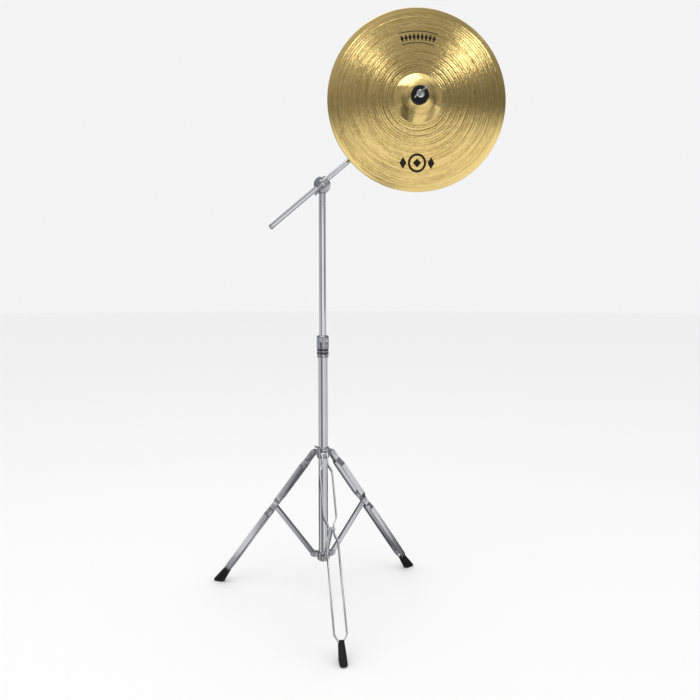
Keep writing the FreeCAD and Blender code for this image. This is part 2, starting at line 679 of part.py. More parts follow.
def boom_socket():
    """The fixed half of the boom tilter: a toothed disc on a plug in the upper tube."""
    disc = put(toothed_disc(BOOM_DISC_R, BOOM_DISC_THICK, EYEBOLT_R + RUNNING_GAP, TILTER_TOOTH_COUNT),
               frame(boom_centre(BOOM_FACE_Y), X_AXIS, Y_AXIS))
    plug = rod(UPPER_TUBE_BORE_R, V(0, 0, PLUG_BOTTOM), V(0, 0, UPPER_TUBE_TOP))
    neck = rod(NECK_R, V(0, 0, UPPER_TUBE_TOP), V(0, 0, BOOM_Z - 8.0))
    disc_back = BOOM_FACE_Y + BOOM_DISC_THICK
    half = 2 * NECK_R
    # The neck stays whole below the discs and only rises behind the fixed one
    behind = block(V(-half, disc_back - BOOM_DISC_THICK * 0.55, UPPER_TUBE_TOP), V(half, disc_back, BOOM_Z))
    base = block(V(-half, -half, UPPER_TUBE_TOP - 1), V(half, half, BOOM_Z - BOOM_DISC_R - 0.5))
    neck = neck.common(behind.fuse(base))
    body = disc.fuse([plug, neck]).removeSplitter()
    hole = rod(EYEBOLT_R + RUNNING_GAP, boom_centre(-half), boom_centre(half))
    return body.cut([hole, socket_screws()])


def boom_clamp():
    """The turning half of the boom tilter: a toothed disc with a saddle for the rod's sleeve."""
    disc = put(toothed_disc(BOOM_DISC_R, BOOM_DISC_THICK, EYEBOLT_R + RUNNING_GAP, TILTER_TOOTH_COUNT),
               frame(boom_centre(BOOM_FACE_Y - FACE_GAP), X_AXIS, -Y_AXIS))
    # Saddle, built level with x along the rod and z towards the front
    half_length = SLEEVE_HALF - 1.0
    disc_front = FACE_GAP + BOOM_DISC_THICK - BOOM_FACE_Y
    saddle_front = 1.5 - ROD_Y
    saddle = block(V(-half_length, -SADDLE_HALF_WIDTH, disc_front - 2),
                   V(half_length, SADDLE_HALF_WIDTH, saddle_front))
    upright = [edge for edge in saddle.Edges if abs(edge.tangentAt(edge.FirstParameter).z) > 0.5]
    saddle = saddle.makeFillet(SADDLE_EDGE_R, upright)
    trough_start = V(-2 * half_length, 0, -ROD_Y)
    trough = Part.makeCylinder(SLEEVE_R + RUNNING_GAP, 4 * half_length, trough_start, X_AXIS)
    eye_gap = 0.2
    eye_slot = block(V(-EYE_HALF - eye_gap, -2 * SADDLE_HALF_WIDTH, -ROD_Y - EYE_R - eye_gap),
                     V(EYE_HALF + eye_gap, 2 * SADDLE_HALF_WIDTH, saddle_front + 1))
    saddle = saddle.cut([trough, eye_slot])
    placed = put(saddle, frame(boom_centre(0), boom_direction(), -Y_AXIS))
    hole = rod(EYEBOLT_R + RUNNING_GAP, boom_centre(ROD_Y), boom_centre(-ROD_Y))
    return disc.fuse(placed).removeSplitter().cut(hole)


def boom_eyebolt():
    """The eyebolt that pulls the rod's sleeve into the saddle."""
    direction = boom_direction()
    centre = boom_centre(ROD_Y)
    eye = rod(EYE_R, centre - direction * EYE_HALF, centre + direction * EYE_HALF)
    eye = eye.makeFillet(EYE_EDGE_R, circular_edges(eye, EYE_R))
    shank_start = 2.0 - ROD_Y - EYE_R
    thread_start = shank_start + BOOM_DISC_THICK + BOOM_FACE_Y
    shank = put(threaded_rod(EYEBOLT_R, 0, thread_start, shank_start + EYEBOLT_END_Y),
                frame(boom_centre(-shank_start), X_AXIS, Y_AXIS))
    bore = rod(SLEEVE_R + RUNNING_GAP, centre - direction * SLEEVE_HALF, centre + direction * SLEEVE_HALF)
    return eye.fuse(shank).cut(bore)


def boom_sleeve():
    """The sleeve between the eyebolt and the boom rod."""
    half = boom_direction() * SLEEVE_HALF
    centre = boom_centre(ROD_Y)
    return tube(SLEEVE_R, ROD_R + RUNNING_GAP, centre - half, centre + half)


def boom_wing_nut():
    """The large wing nut behind the boom tilter."""
    nut = wing_nut(EYEBOLT_R + RUNNING_GAP, BOOM_FLANGE_R, BOOM_WINGS)
    angle = math.radians(BOOM_WINGS_TURN)
    seat = boom_centre(BOOM_FACE_Y + BOOM_DISC_THICK + FACE_GAP)
    return put(nut, frame(seat, V(math.cos(angle), 0, math.sin(angle)), Y_AXIS))


def hinge_point():
    """The cymbal tilter's hinge, on the boom rod's own line."""
    return boom_centre(ROD_Y) + boom_direction() * ROD_FRONT


def boom_rod():
    """The boom rod, from its end cap to its socket in the cymbal tilter."""
    direction = boom_direction()
    start = boom_centre(ROD_Y) - direction * ROD_BACK
    end = hinge_point() + direction * ROD_SOCKET_END
    return tube(ROD_R, ROD_BORE_R, start, end)


def boom_end_cap():
    """The rounded cap pressed into the back end of the boom rod."""
    cap = Part.makeCylinder(ROD_R + 0.5, CAP_OVERLAP + 2.0)
    cap = cap.makeFillet(4.0, [min(cap.Edges, key=lambda edge: edge.CenterOfMass.z)])
    plug = Part.makeCylinder(ROD_BORE_R, CAP_PLUG_END - CAP_OVERLAP, V(0, 0, CAP_OVERLAP))
    wall_space = tube_local(ROD_R, ROD_BORE_R, CAP_OVERLAP, CAP_PLUG_END)
    shape = cap.fuse(plug).cut(wall_space)
    direction = boom_direction()
    start = boom_centre(ROD_Y) - direction * (ROD_BACK + CAP_OVERLAP)
    return put(shape, frame(start, Y_AXIS, direction))


# ---------------------------------------------------------------- cymbal tilter
# Its frame has its origin at the hinge, x along the boom, y along the hinge, and z forwards along the stem.

def tilter_frame():
    """The cymbal tilter's frame at rest."""
    return frame(hinge_point(), boom_direction(), -Y_AXIS)


def tilter_base():
    """The fixed half of the cymbal tilter, on the front end of the boom rod."""
    disc = put(toothed_disc(HINGE_DISC_R, HINGE_DISC_THICK, HINGE_BOLT_R + RUNNING_GAP, TILTER_TOOTH_COUNT),
               frame(V(0, FACE_GAP / 2, 0), X_AXIS, Y_AXIS))
    neck_end = -HINGE_DISC_R - 0.8
    # The neck flares from the rod to the disc
    outline = [(0, ROD_SOCKET_START), (7.4, ROD_SOCKET_START), (7.9, ROD_SOCKET_START + 3.0),
               (8.4, ROD_SOCKET_START + 14.0), (10.6, neck_end - 5.0), (11.0, neck_end), (0, neck_end)]
    neck = lathe(outline)
    neck = put(neck, frame(V(0, 0, 0), Y_AXIS, X_AXIS))
    outer_face = FACE_GAP / 2 + HINGE_DISC_THICK
    bridge = block(V(neck_end - 3.0, outer_face * 0.45, -BRIDGE_HALF), V(-8.0, outer_face, BRIDGE_HALF))
    body = disc.fuse([neck, bridge]).removeSplitter()
    rod_space = rod(ROD_R, V(ROD_SOCKET_START - 1, 0, 0), V(ROD_SOCKET_END, 0, 0))
    bolt_space = rod(HINGE_BOLT_R + RUNNING_GAP, V(0, -HINGE_DISC_R, 0), V(0, HINGE_DISC_R, 0))
    return put(body.cut([rod_space, bolt_space, neck_rivet_local()]), tilter_frame())


def neck_rivet_local():
    """The small rivet through the neck, in the tilter's frame."""
    place = V(ROD_SOCKET_START + 12.0, 0, 8.3)
    return put(stub(NECK_RIVET_R, NECK_RIVET_LENGTH, NECK_RIVET_HEAD), frame(place, X_AXIS, Z_AXIS))


def neck_rivet():
    """The small rivet that fixes the neck on the boom rod, cut off short where the rod begins."""
    inside = rod(ROD_R, V(ROD_SOCKET_START - 1, 0, 0), V(0, 0, 0))
    return put(neck_rivet_local().cut(inside), tilter_frame())


def tilter_arm():
    """The turning half of the cymbal tilter: a toothed disc, an arm and the stem it carries."""
    disc = put(toothed_disc(HINGE_DISC_R, HINGE_DISC_THICK, HINGE_BOLT_R + RUNNING_GAP, TILTER_TOOTH_COUNT),
               frame(V(0, -FACE_GAP / 2, 0), X_AXIS, -Y_AXIS))
    outer_face = -FACE_GAP / 2 - HINGE_DISC_THICK
    inner_face = outer_face * 0.55
    boss_r = STEM_R + 1.2
    # The arm's outline in the disc's plane, tapering from the disc to the stem
    profile = [V(4.0, outer_face, -HINGE_DISC_R * 0.8), V(ARM_REACH, outer_face, ARM_LOW + 0.5),
               V(ARM_REACH, outer_face, ARM_HIGH - 3.0), V(ARM_REACH - boss_r - 3.0, outer_face, ARM_HIGH),
               V(8.0, outer_face, HINGE_DISC_R * 0.85)]
    arm = Part.Face(Part.makePolygon(profile + [profile[0]])).extrude(V(0, inner_face - outer_face, 0))
    web = block(V(HINGE_DISC_R + 1.5, outer_face, ARM_LOW + 2.0), V(ARM_REACH, 4.0, ARM_HIGH - 3.0))
    boss = rod(boss_r, V(ARM_REACH, 0, ARM_LOW), V(ARM_REACH, 0, ARM_HIGH))
    boss = boss.makeFillet(1.5, circular_edges(boss, boss_r))
    stem = rod(STEM_R, V(ARM_REACH, 0, 0), V(ARM_REACH, 0, STEM_END))
    body = disc.fuse([arm, web, boss, stem]).removeSplitter()
    hinge_space = rod(HINGE_BOLT_R + RUNNING_GAP, V(0, -HINGE_DISC_R, 0), V(0, HINGE_DISC_R, 0))
    stud_space = rod(STUD_R, V(ARM_REACH, 0, STEM_END - STUD_GRIP), V(ARM_REACH, 0, STEM_END + 1))
    return put(body.cut([hinge_space, stud_space]), tilter_frame())


def tilter_wing_bolt():
    """The wing bolt through the cymbal tilter's hinge."""
    outer_face = -FACE_GAP / 2 - HINGE_DISC_THICK
    reach = 2 * HINGE_DISC_THICK
    bolt = wing_bolt(HINGE_BOLT_R, reach, TILTER_WINGS)
    seat = frame(V(0, outer_face - FACE_GAP, 0), X_AXIS, -Y_AXIS)
    return put(put(bolt, seat), tilter_frame())


def stem_frame():
    """The frame on the stem: z forwards along it, from the boom rod's line."""
    return frame(hinge_point() + boom_direction() * ARM_REACH, boom_direction(), -Y_AXIS)


def cymbal_stud():
    """The threaded rod that carries the cymbal."""
    return put(threaded_rod(STUD_R, STEM_END - STUD_GRIP, UPPER_FELT_END + 2.0, STUD_END), stem_frame())


def cup_washer():
    """The shallow cup under the lower felt."""
    outline = [(STUD_R, STEM_END), (12.0, STEM_END), (19.5, STEM_END + 3.5), (19.5, CUP_END - 0.6),
               (18.0, CUP_END), (STUD_R, CUP_END)]
    return put(lathe(outline), stem_frame())


def cymbal_sleeve():
    """The plastic sleeve that keeps the cymbal off the thread."""
    sleeve = tube_local(FELT_HOLE_R - 0.15, STUD_R + RUNNING_GAP, CUP_END + 0.2, UPPER_FELT_END - 0.2)
    return put(sleeve, stem_frame())


def felt(low, high, low_round, high_round, dome):
    """A felt washer along local z, rounded at both rims, whose high face is domed by the given rise."""
    low_r = FELT_R - low_round
    high_r = FELT_R - high_round
    side_low = low + low_round
    side_high = high - dome - high_round
    low_inner, low_outer = V(FELT_HOLE_R, 0, low), V(low_r, 0, low)
    high_inner, high_outer = V(FELT_HOLE_R, 0, high), V(high_r, 0, high - dome)
    outline = [
        Part.LineSegment(low_inner, low_outer).toShape(),
        quarter(low_outer, V(FELT_R, 0, side_low), V(low_r, 0, side_low)),
        Part.LineSegment(V(FELT_R, 0, side_low), V(FELT_R, 0, side_high)).toShape(),
        quarter(V(FELT_R, 0, side_high), high_outer, V(high_r, 0, side_high)),
        top_curve(high_outer, high_inner),
        Part.LineSegment(high_inner, low_inner).toShape(),
    ]
    return Part.Face(Part.Wire(outline)).revolve(V(0, 0, 0), Z_AXIS, FULL_TURN)


def quarter(start, end, centre):
    """A quarter circle in the xz plane."""
    middle_direction = ((start - centre) + (end - centre)).normalize()
    middle = centre + middle_direction * (start - centre).Length
    return Part.Arc(start, middle, end).toShape()


def top_curve(rim, hole_edge):
    """The slightly crowned top of a felt, from its rim to its hole."""
    middle = (rim + hole_edge) * 0.5
    middle.z = rim.z + (hole_edge.z - rim.z) * 0.75
    return Part.Arc(rim, middle, hole_edge).toShape()


def lower_felt():
    """The felt under the cymbal, crowned to fit inside the bell."""
    return put(felt(CUP_END, LOWER_FELT_END, 4.0, 6.0, 2.6), stem_frame())


def upper_felt():
    """The felt over the cymbal."""
    return put(felt(UPPER_FELT_START, UPPER_FELT_END, 4.5, 7.0, 1.2), stem_frame())


def top_wing_nut():
    """The wing nut that holds the upper felt."""
    nut = wing_nut(STUD_R + RUNNING_GAP, TOP_FLANGE_R, TOP_WINGS)
    seat = frame(V(0, 0, UPPER_FELT_END + FACE_GAP), X_AXIS, Z_AXIS)
    return put(put(nut, seat), stem_frame())


# ---------------------------------------------------------------- cymbal

def bell_radius():
    """The radius of the sphere that the bell is part of."""
    return (BELL_R ** 2 + BELL_HEIGHT ** 2) / (2 * BELL_HEIGHT)


def bow_arc(offset):
    """The bow's line in the xz plane, lowered square to the surface by the given thickness."""
    first = math.radians(BOW_SLOPE_START)
    last = math.radians(BOW_SLOPE_END)
    radius = (CYMBAL_R - BELL_R) / (math.sin(last) - math.sin(first))
    centre = V(BELL_R - radius * math.sin(first), 0, -BELL_HEIGHT - radius * math.cos(first))
    points = []
    for slope in (BOW_SLOPE_START, (BOW_SLOPE_START + BOW_SLOPE_END) / 2, BOW_SLOPE_END):
        angle = math.radians(slope)
        points.append(centre + V(math.sin(angle), 0, math.cos(angle)) * (radius - offset))
    return points


def bell_arc(offset):
    """The bell's line in the xz plane, from the hole to its edge, lowered by the given thickness."""
    radius = bell_radius()
    hole_angle = math.asin(CYMBAL_HOLE_R / (radius - offset))
    edge_angle = math.asin(BELL_R / radius)
    points = []
    for angle in (hole_angle, (hole_angle + edge_angle) / 2, edge_angle):
        points.append(V(math.sin(angle), 0, math.cos(angle)) * (radius - offset) - V(0, 0, radius))
    return points


def cymbal():
    """The cymbal: a bell and a long bow of one thickness, with the hole in the middle of the bell."""
    bell_top = bell_arc(0)
    bow_top = bow_arc(0)
    bell_under = bell_arc(CYMBAL_THICK)
    bow_under = bow_arc(CYMBAL_THICK)
    join = (bell_under[2] + bow_under[0]) * 0.5
    join.x = join.x - CYMBAL_THICK * 0.15
    edges = [
        Part.Arc(*bell_top).toShape(),
        Part.Arc(*bow_top).toShape(),
        Part.LineSegment(bow_top[2], bow_under[2]).toShape(),
        Part.Arc(bow_under[2], bow_under[1], bow_under[0]).toShape(),
        Part.LineSegment(bow_under[0], join).toShape(),
        Part.LineSegment(join, bell_under[2]).toShape(),
        Part.Arc(bell_under[2], bell_under[1], bell_under[0]).toShape(),
        Part.LineSegment(bell_under[0], bell_top[0]).toShape(),
    ]
    solid = Part.Face(Part.Wire(edges)).revolve(V(0, 0, 0), Z_AXIS, FULL_TURN)
    solid.translate(V(0, 0, HOLE_PLANE))
    return put(solid, stem_frame())


# ---------------------------------------------------------------- all the pieces

def tripod_pieces():
    """Every leg's strips, rivets, foot and brace, by node name."""
    pieces = {}
    strips = [leg_strip(1), leg_strip(-1)]
    rivets = leg_rivets()
    foot = rubber_foot(strips + [rivets])
    leg_place = leg_frame()
    brace_place = brace_frame()
    for name, azimuth in LEG_AZIMUTHS.items():
        pieces["leg_%s_strip_a" % name] = turned_about_z(put(strips[0], leg_place), azimuth)
        pieces["leg_%s_strip_b" % name] = turned_about_z(put(strips[1], leg_place), azimuth)
        pieces["leg_%s_rivets" % name] = turned_about_z(put(rivets, leg_place), azimuth)
        pieces["foot_%s" % name] = turned_about_z(put(foot, leg_place), azimuth)
        pieces["brace_%s" % name] = turned_about_z(put(brace(), brace_place), azimuth)
    return pieces


def all_pieces():
    """Every piece of the object, by node name, about the stand's axis."""
    pieces = {
        "base_tube": base_tube(),
        "lower_collar": lower_collar(),
        "lower_collar_screw": lower_collar_screw(),
        "brace_rivets": brace_rivets(),
        "height_clamp": height_clamp(),
        "clamp_ring": clamp_ring(),
        "sliding_collar": sliding_collar(),
        "leg_top_rivets": top_pivot_rivets(),
        "collar_wing_bolt": collar_wing_bolt(),
        "height_wing_bolt": height_wing_bolt(),
        "height_bushing": height_bushing(),
        "memory_lock": memory_lock(),
        "memory_lock_screw": memory_lock_screw(),
        "upper_tube": upper_tube(),
        "boom_socket": boom_socket(),
        "socket_screws": socket_screws(),
        "boom_clamp": boom_clamp(),
        "boom_eyebolt": boom_eyebolt(),
        "boom_sleeve": boom_sleeve(),
        "boom_wing_nut": boom_wing_nut(),
        "boom_rod": boom_rod(),
        "boom_end_cap": boom_end_cap(),
        "tilter_base": tilter_base(),
        "neck_rivet": neck_rivet(),
        "tilter_arm": tilter_arm(),
        "tilter_wing_bolt": tilter_wing_bolt(),
        "cymbal_stud": cymbal_stud(),
        "cup_washer": cup_washer(),
        "cymbal_sleeve": cymbal_sleeve(),
        "lower_felt": lower_felt(),
        "upper_felt": upper_felt(),
        "top_wing_nut": top_wing_nut(),
        "cymbal": cymbal(),
    }
    pieces.update(tripod_pieces())
    return pieces


os.makedirs("parts", exist_ok=True)
for node, shape in all_pieces().items():
    shape.translate(STAND_AXIS)
    shape.exportStep("parts/%s.step" % node)
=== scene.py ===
"""A crash cymbal on its boom stand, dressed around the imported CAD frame.

The cymbal and its felts are new meshes that stand for their CAD nodes. Cast, bent and moulded pieces are
copies of the CAD meshes with softened edges. The tubes and the small fasteners keep their CAD meshes.
Lengths are in metres in the row frame: Z up, with the cymbal facing -Y. Lengths named _MM are millimetres.
"""
import json
import math

import bmesh
import bpy
import numpy as np
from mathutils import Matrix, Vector, noise

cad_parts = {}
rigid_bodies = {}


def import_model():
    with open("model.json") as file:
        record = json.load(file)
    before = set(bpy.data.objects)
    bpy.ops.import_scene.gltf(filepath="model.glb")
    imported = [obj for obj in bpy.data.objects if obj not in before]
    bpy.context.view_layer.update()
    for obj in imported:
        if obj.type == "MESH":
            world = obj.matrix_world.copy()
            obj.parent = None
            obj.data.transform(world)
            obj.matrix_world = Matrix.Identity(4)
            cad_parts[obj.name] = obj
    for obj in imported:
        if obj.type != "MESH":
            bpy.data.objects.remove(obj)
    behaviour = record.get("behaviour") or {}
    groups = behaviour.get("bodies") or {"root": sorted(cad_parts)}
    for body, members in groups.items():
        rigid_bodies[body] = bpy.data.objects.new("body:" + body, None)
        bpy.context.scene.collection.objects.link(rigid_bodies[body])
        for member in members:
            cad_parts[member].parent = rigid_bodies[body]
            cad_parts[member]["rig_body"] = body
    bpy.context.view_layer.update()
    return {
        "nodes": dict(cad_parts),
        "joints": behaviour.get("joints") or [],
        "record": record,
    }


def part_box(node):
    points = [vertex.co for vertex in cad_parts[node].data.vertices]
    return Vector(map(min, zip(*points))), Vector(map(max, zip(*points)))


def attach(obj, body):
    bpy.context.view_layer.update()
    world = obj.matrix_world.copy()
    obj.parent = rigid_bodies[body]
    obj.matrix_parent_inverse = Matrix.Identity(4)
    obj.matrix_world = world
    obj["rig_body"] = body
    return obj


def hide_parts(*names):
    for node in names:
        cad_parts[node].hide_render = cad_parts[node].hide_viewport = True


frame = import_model()

MM = 0.001
NODES = frame["nodes"]
JOINTS = {joint["name"]: joint for joint in frame["joints"]}
SLOT_OF = {part["node"]: part["material_slot"] for part in frame["record"]["subparts"]}
BODY_OF = {name: item["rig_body"] for name, item in NODES.items()}

# Camera: straight in front of the stand's tubes, at about waist height
CAMERA_DISTANCE = 1.76
CAMERA_HEIGHT = 0.846
CAMERA_LENS_MM = 33.6
CAMERA_SENSOR_MM = 36.0
CAMERA_PITCH = -4.9
CAMERA_YAW = 2.4

# Cymbal, as in the CAD part
CYMBAL_THICK = 1.05 * MM
CYMBAL_HOLE_R = 6.25 * MM
BELL_R = 61.5 * MM
BELL_HEIGHT = 21.0 * MM
BOW_SLOPE_START = 3.5
BOW_SLOPE_END = 9.5

# Cymbal, as it is finished. A groove is its pitch and its depth.
CYMBAL_SEGMENTS = 288
HOLE_EDGE = 0.3 * MM            # the rounding of the hole's edge
BELL_FOOT = 1.0 * MM            # how softly the bell runs into the bow
BELL_FOOT_BAND = (60.0 * MM, 63.5 * MM)
RIM_BAND = 11.0 * MM            # the plain band inside the rim
FLAT_TOP_R = 18.0 * MM          # the plain middle of the bell, round the hole
BELL_LATHED_R = 48.0 * MM       # where the bell's lathe lines end and its polished edge begins
BOW_GROOVES = (6.6 * MM, 0.25 * MM)
BOW_FINE_GROOVES = (3.1 * MM, 0.06 * MM)
BELL_GROOVES = (1.9 * MM, 0.05 * MM)
BACK_GROOVES = (5.0 * MM, 0.05 * MM)
GROOVE_FADE = 2.0 * MM
FRONT_DENT = 0.09 * MM
BACK_DENT = 0.08 * MM
DENT_SEED = 11
DENT_RING_SPACING = 8.5 * MM
DENT_SPACING = 26.0 * MM
POLISHED_BELL = (47.0 * MM, 62.5 * MM)
POLISHED_RIM_R = 219.0 * MM

# Prints on the cymbal, measured from its middle: a border of diamonds above the bell, a mark below it
PRINT_EDGE = 0.15 * MM
BORDER_R = 153.0 * MM
BORDER_PITCH = 10.2 * MM
BORDER_DIAMOND = (4.5 * MM, 10.0 * MM)
BORDER_LINE = (13.5 * MM, 16.0 * MM)
MARK_Y = -157.0 * MM
MARK_RING = (17.5 * MM, 23.5 * MM)
MARK_DIAMOND = (11.0 * MM, 11.0 * MM)
MARK_SIDE_X = 36.0 * MM
MARK_SIDE_DIAMOND = (9.0 * MM, 15.0 * MM)

# Felts, as in the CAD part. A felt is the rounding of its lower and upper rims, and its crown's rise.
FELT_HOLE_R = 6.0 * MM
LOWER_FELT = (4.0 * MM, 6.0 * MM, 2.6 * MM)
UPPER_FELT = (4.5 * MM, 7.0 * MM, 1.2 * MM)
FELT_SEGMENTS = 160
FELT_FUZZ = 0.22 * MM           # how deep the wool's roughness goes


# ---------------------------------------------------------------- node graphs

class Graph:
    """The nodes of a material or a world, with short calls for what the finishes share."""

    def __init__(self, owner):
        owner.use_nodes = True
        self.owner = owner
        self.tree = owner.node_tree
        self.shader = self.tree.nodes.get("Principled BSDF")

    def add(self, kind):
        """A new node of a kind, named without its ShaderNode prefix."""
        return self.tree.nodes.new("ShaderNode" + kind)

    def feed(self, socket, value):
        """Sets an input from another node's output or from a plain value."""
        if isinstance(value, bpy.types.NodeSocket):
            self.tree.links.new(value, socket)
        else:
            socket.default_value = value

    def set(self, **inputs):
        """Sets the main shader's inputs; an underscore in a name stands for a space."""
        for name, value in inputs.items():
            self.feed(self.shader.inputs[name.replace("_", " ")], value)

    def place(self):
        """Where a point is in its own object, in metres."""
        return self.add("TexCoord").outputs["Object"]

    def facing(self):
        """Which way the surface faces, in its own object's directions."""
        return self.add("TexCoord").outputs["Normal"]

    def parts(self, vector):
        """The x, y and z of a vector."""
        node = self.add("SeparateXYZ")
        self.feed(node.inputs[0], vector)
        return node.outputs

    def joined(self, x, y, z):
        """A vector from three numbers."""
        node = self.add("CombineXYZ")
        for socket, value in zip(node.inputs, (x, y, z)):
            self.feed(socket, value)
        return node.outputs[0]

    def scaled(self, vector, factors):
        """A vector multiplied by three factors."""
        node = self.add("VectorMath")
        node.operation = "MULTIPLY"
        self.feed(node.inputs[0], vector)
        node.inputs[1].default_value = factors
        return node.outputs[0]

    def math(self, operation, first, second=0.0):
        """One arithmetic step."""
        node = self.add("Math")
        node.operation = operation
        self.feed(node.inputs[0], first)
        self.feed(node.inputs[1], second)
        return node.outputs[0]

    def times(self, first, second):
        """A product."""
        return self.math("MULTIPLY", first, second)

    def without(self, value):
        """What is left of 1 once a value is taken away."""
        return self.math("SUBTRACT", 1.0, value)

    def length(self, x, y):
        """The length of a flat vector."""
        return self.math("SQRT", self.math("ADD", self.times(x, x), self.times(y, y)))

    def blend(self, share, first, second):
        """A number carried from a first value to a second one."""
        return self.math("ADD", self.times(first, self.without(share)), self.times(second, share))

    def within(self, value, low, high, soft):
        """1 where a value lies between two limits, fading to 0 over a soft edge."""
        above = self.step(value, low, soft)
        below = self.step(value, high, soft)
        return self.math("SUBTRACT", above, below)

    def step(self, value, edge, soft):
        """0 below an edge and 1 above it, with a soft change."""
        return self.remap(value, (edge - soft, edge + soft), (0.0, 1.0))

    def remap(self, value, old, new):
        """A value carried from one range to another and held to it."""
        node = self.add("MapRange")
        self.feed(node.inputs["Value"], value)
        node.inputs["From Min"].default_value = old[0]
        node.inputs["From Max"].default_value = old[1]
        node.inputs["To Min"].default_value = new[0]
        node.inputs["To Max"].default_value = new[1]
        return node.outputs[0]

    def noise(self, vector, scale, detail=2.0, roughness=0.5):
        """Cloudy noise from 0 to 1, with so many features to the metre."""
        node = self.add("TexNoise")
        self.feed(node.inputs["Vector"], vector)
        node.inputs["Scale"].default_value = scale
        node.inputs["Detail"].default_value = detail
        node.inputs["Roughness"].default_value = roughness
        return node.outputs[0]

    def mix(self, amount, first, second):
        """A blend of two colours."""
        node = self.add("Mix")
        node.data_type = "RGBA"
        self.feed(node.inputs["Factor"], amount)
        colour_inputs = [socket for socket in node.inputs if socket.type == "RGBA"]
        for socket, value in zip(colour_inputs, (first, second)):
            self.feed(socket, value)
        return [socket for socket in node.outputs if socket.type == "RGBA"][0]

    def bump(self, height, distance, normal=None):
        """A normal from a height of 0 to 1 that stands for a real distance."""
        node = self.add("Bump")
        node.inputs["Strength"].default_value = 1.0
        node.inputs["Distance"].default_value = distance
        self.feed(node.inputs["Height"], height)
        if normal is not None:
            self.feed(node.inputs["Normal"], normal)
        return node.outputs[0]


def finish_graph(name):
    """The nodes of a new material."""
    return Graph(bpy.data.materials.new(name))


def colour(red, green, blue):
    """An opaque colour."""
    return (red, green, blue, 1.0)


# ---------------------------------------------------------------- finishes

DULL_SHARE = 0.86               # the tint of chrome's dull places, as a share of the full tint


def chrome(name, tint, polish, ripple):
    """Chrome plate: polish is its smoothest and dullest roughness, ripple the height of its unevenness."""
    graph = finish_graph(name)
    place = graph.place()
    film = graph.noise(place, scale=14.0, detail=4.0, roughness=0.6)
    wiped = graph.noise(place, scale=900.0, detail=3.0, roughness=0.7)
    dull = colour(*[part * DULL_SHARE for part in tint])
    graph.set(Base_Color=graph.mix(film, dull, colour(*tint)), Metallic=1.0)
    cloudy = graph.remap(film, (0.35, 0.7), polish)
    streaks = graph.remap(wiped, (0.3, 0.8), (-0.02, 0.04))
    graph.set(Roughness=graph.math("ADD", cloudy, streaks))
    waves = graph.bump(graph.noise(place, scale=160.0, detail=2.0), ripple)
    graph.set(Normal=graph.bump(wiped, 0.004 * MM, waves))
    return graph.owner


def rubber():
    """Black moulded rubber: matt, finely grained, with floor dust towards the sole."""
    graph = finish_graph("black_rubber")
    place = graph.place()
    cloud = graph.noise(place, scale=60.0, detail=4.0, roughness=0.6)
    grain = graph.noise(place, scale=2600.0, detail=3.0, roughness=0.6)
    black = graph.mix(cloud, colour(0.005, 0.005, 0.005), colour(0.014, 0.014, 0.013))
    height = graph.parts(place)[2]
    low = graph.remap(height, (0.0, 9.0 * MM), (0.40, 0.0))
    dusty = graph.times(low, graph.remap(cloud, (0.45, 0.75), (0.0, 1.0)))
    graph.set(Base_Color=graph.mix(dusty, black, colour(0.10, 0.095, 0.085)), Specular_IOR_Level=0.25)
    graph.set(Roughness=graph.remap(cloud, (0.3, 0.7), (0.48, 0.66)))
    graph.set(Normal=graph.bump(grain, 0.09 * MM))
    return graph.owner


def nylon():
    """Satin black nylon with a faint mould texture."""
    graph = finish_graph("black_nylon")
    place = graph.place()
    cloud = graph.noise(place, scale=120.0, detail=3.0)
    grain = graph.noise(place, scale=3500.0, detail=2.0)
    graph.set(Base_Color=graph.mix(cloud, colour(0.014, 0.014, 0.016), colour(0.032, 0.032, 0.034)))
    graph.set(Roughness=graph.remap(cloud, (0.3, 0.7), (0.30, 0.44)))
    graph.set(Normal=graph.bump(grain, 0.03 * MM))
    return graph.owner


def felt_cloth():
    """Pressed black wool felt: matted fibres, a little lint and a soft sheen."""
    graph = finish_graph("black_felt")
    place = graph.place()
    tangle = graph.noise(place, scale=1500.0, detail=6.0, roughness=0.75)
    layers = graph.noise(graph.scaled(place, (1.0, 5.0, 1.0)), scale=420.0, detail=4.0, roughness=0.6)
    lint = graph.step(graph.noise(place, scale=2300.0, detail=2.0, roughness=0.6), 0.72, 0.03)
    wool = graph.mix(tangle, colour(0.004, 0.004, 0.004), colour(0.020, 0.020, 0.020))
    graph.set(Base_Color=graph.mix(graph.times(lint, 0.5), wool, colour(0.09, 0.088, 0.085)))
    graph.set(Roughness=0.95, Specular_IOR_Level=0.12, Sheen_Weight=0.08, Sheen_Roughness=0.5)
    coarse = graph.bump(layers, 0.5 * MM)
    graph.set(Normal=graph.bump(tangle, 0.35 * MM, coarse))
    return graph.owner


def lozenge(graph, across, along, half_sizes):
    """1 inside a diamond of the given half sizes."""
    edge = 0.03
    first = graph.math("DIVIDE", graph.math("ABSOLUTE", across), half_sizes[0])
    second = graph.math("DIVIDE", graph.math("ABSOLUTE", along), half_sizes[1])
    reach = graph.math("ADD", first, second)
    return graph.remap(reach, (1.0 - edge, 1.0 + edge), (1.0, 0.0))


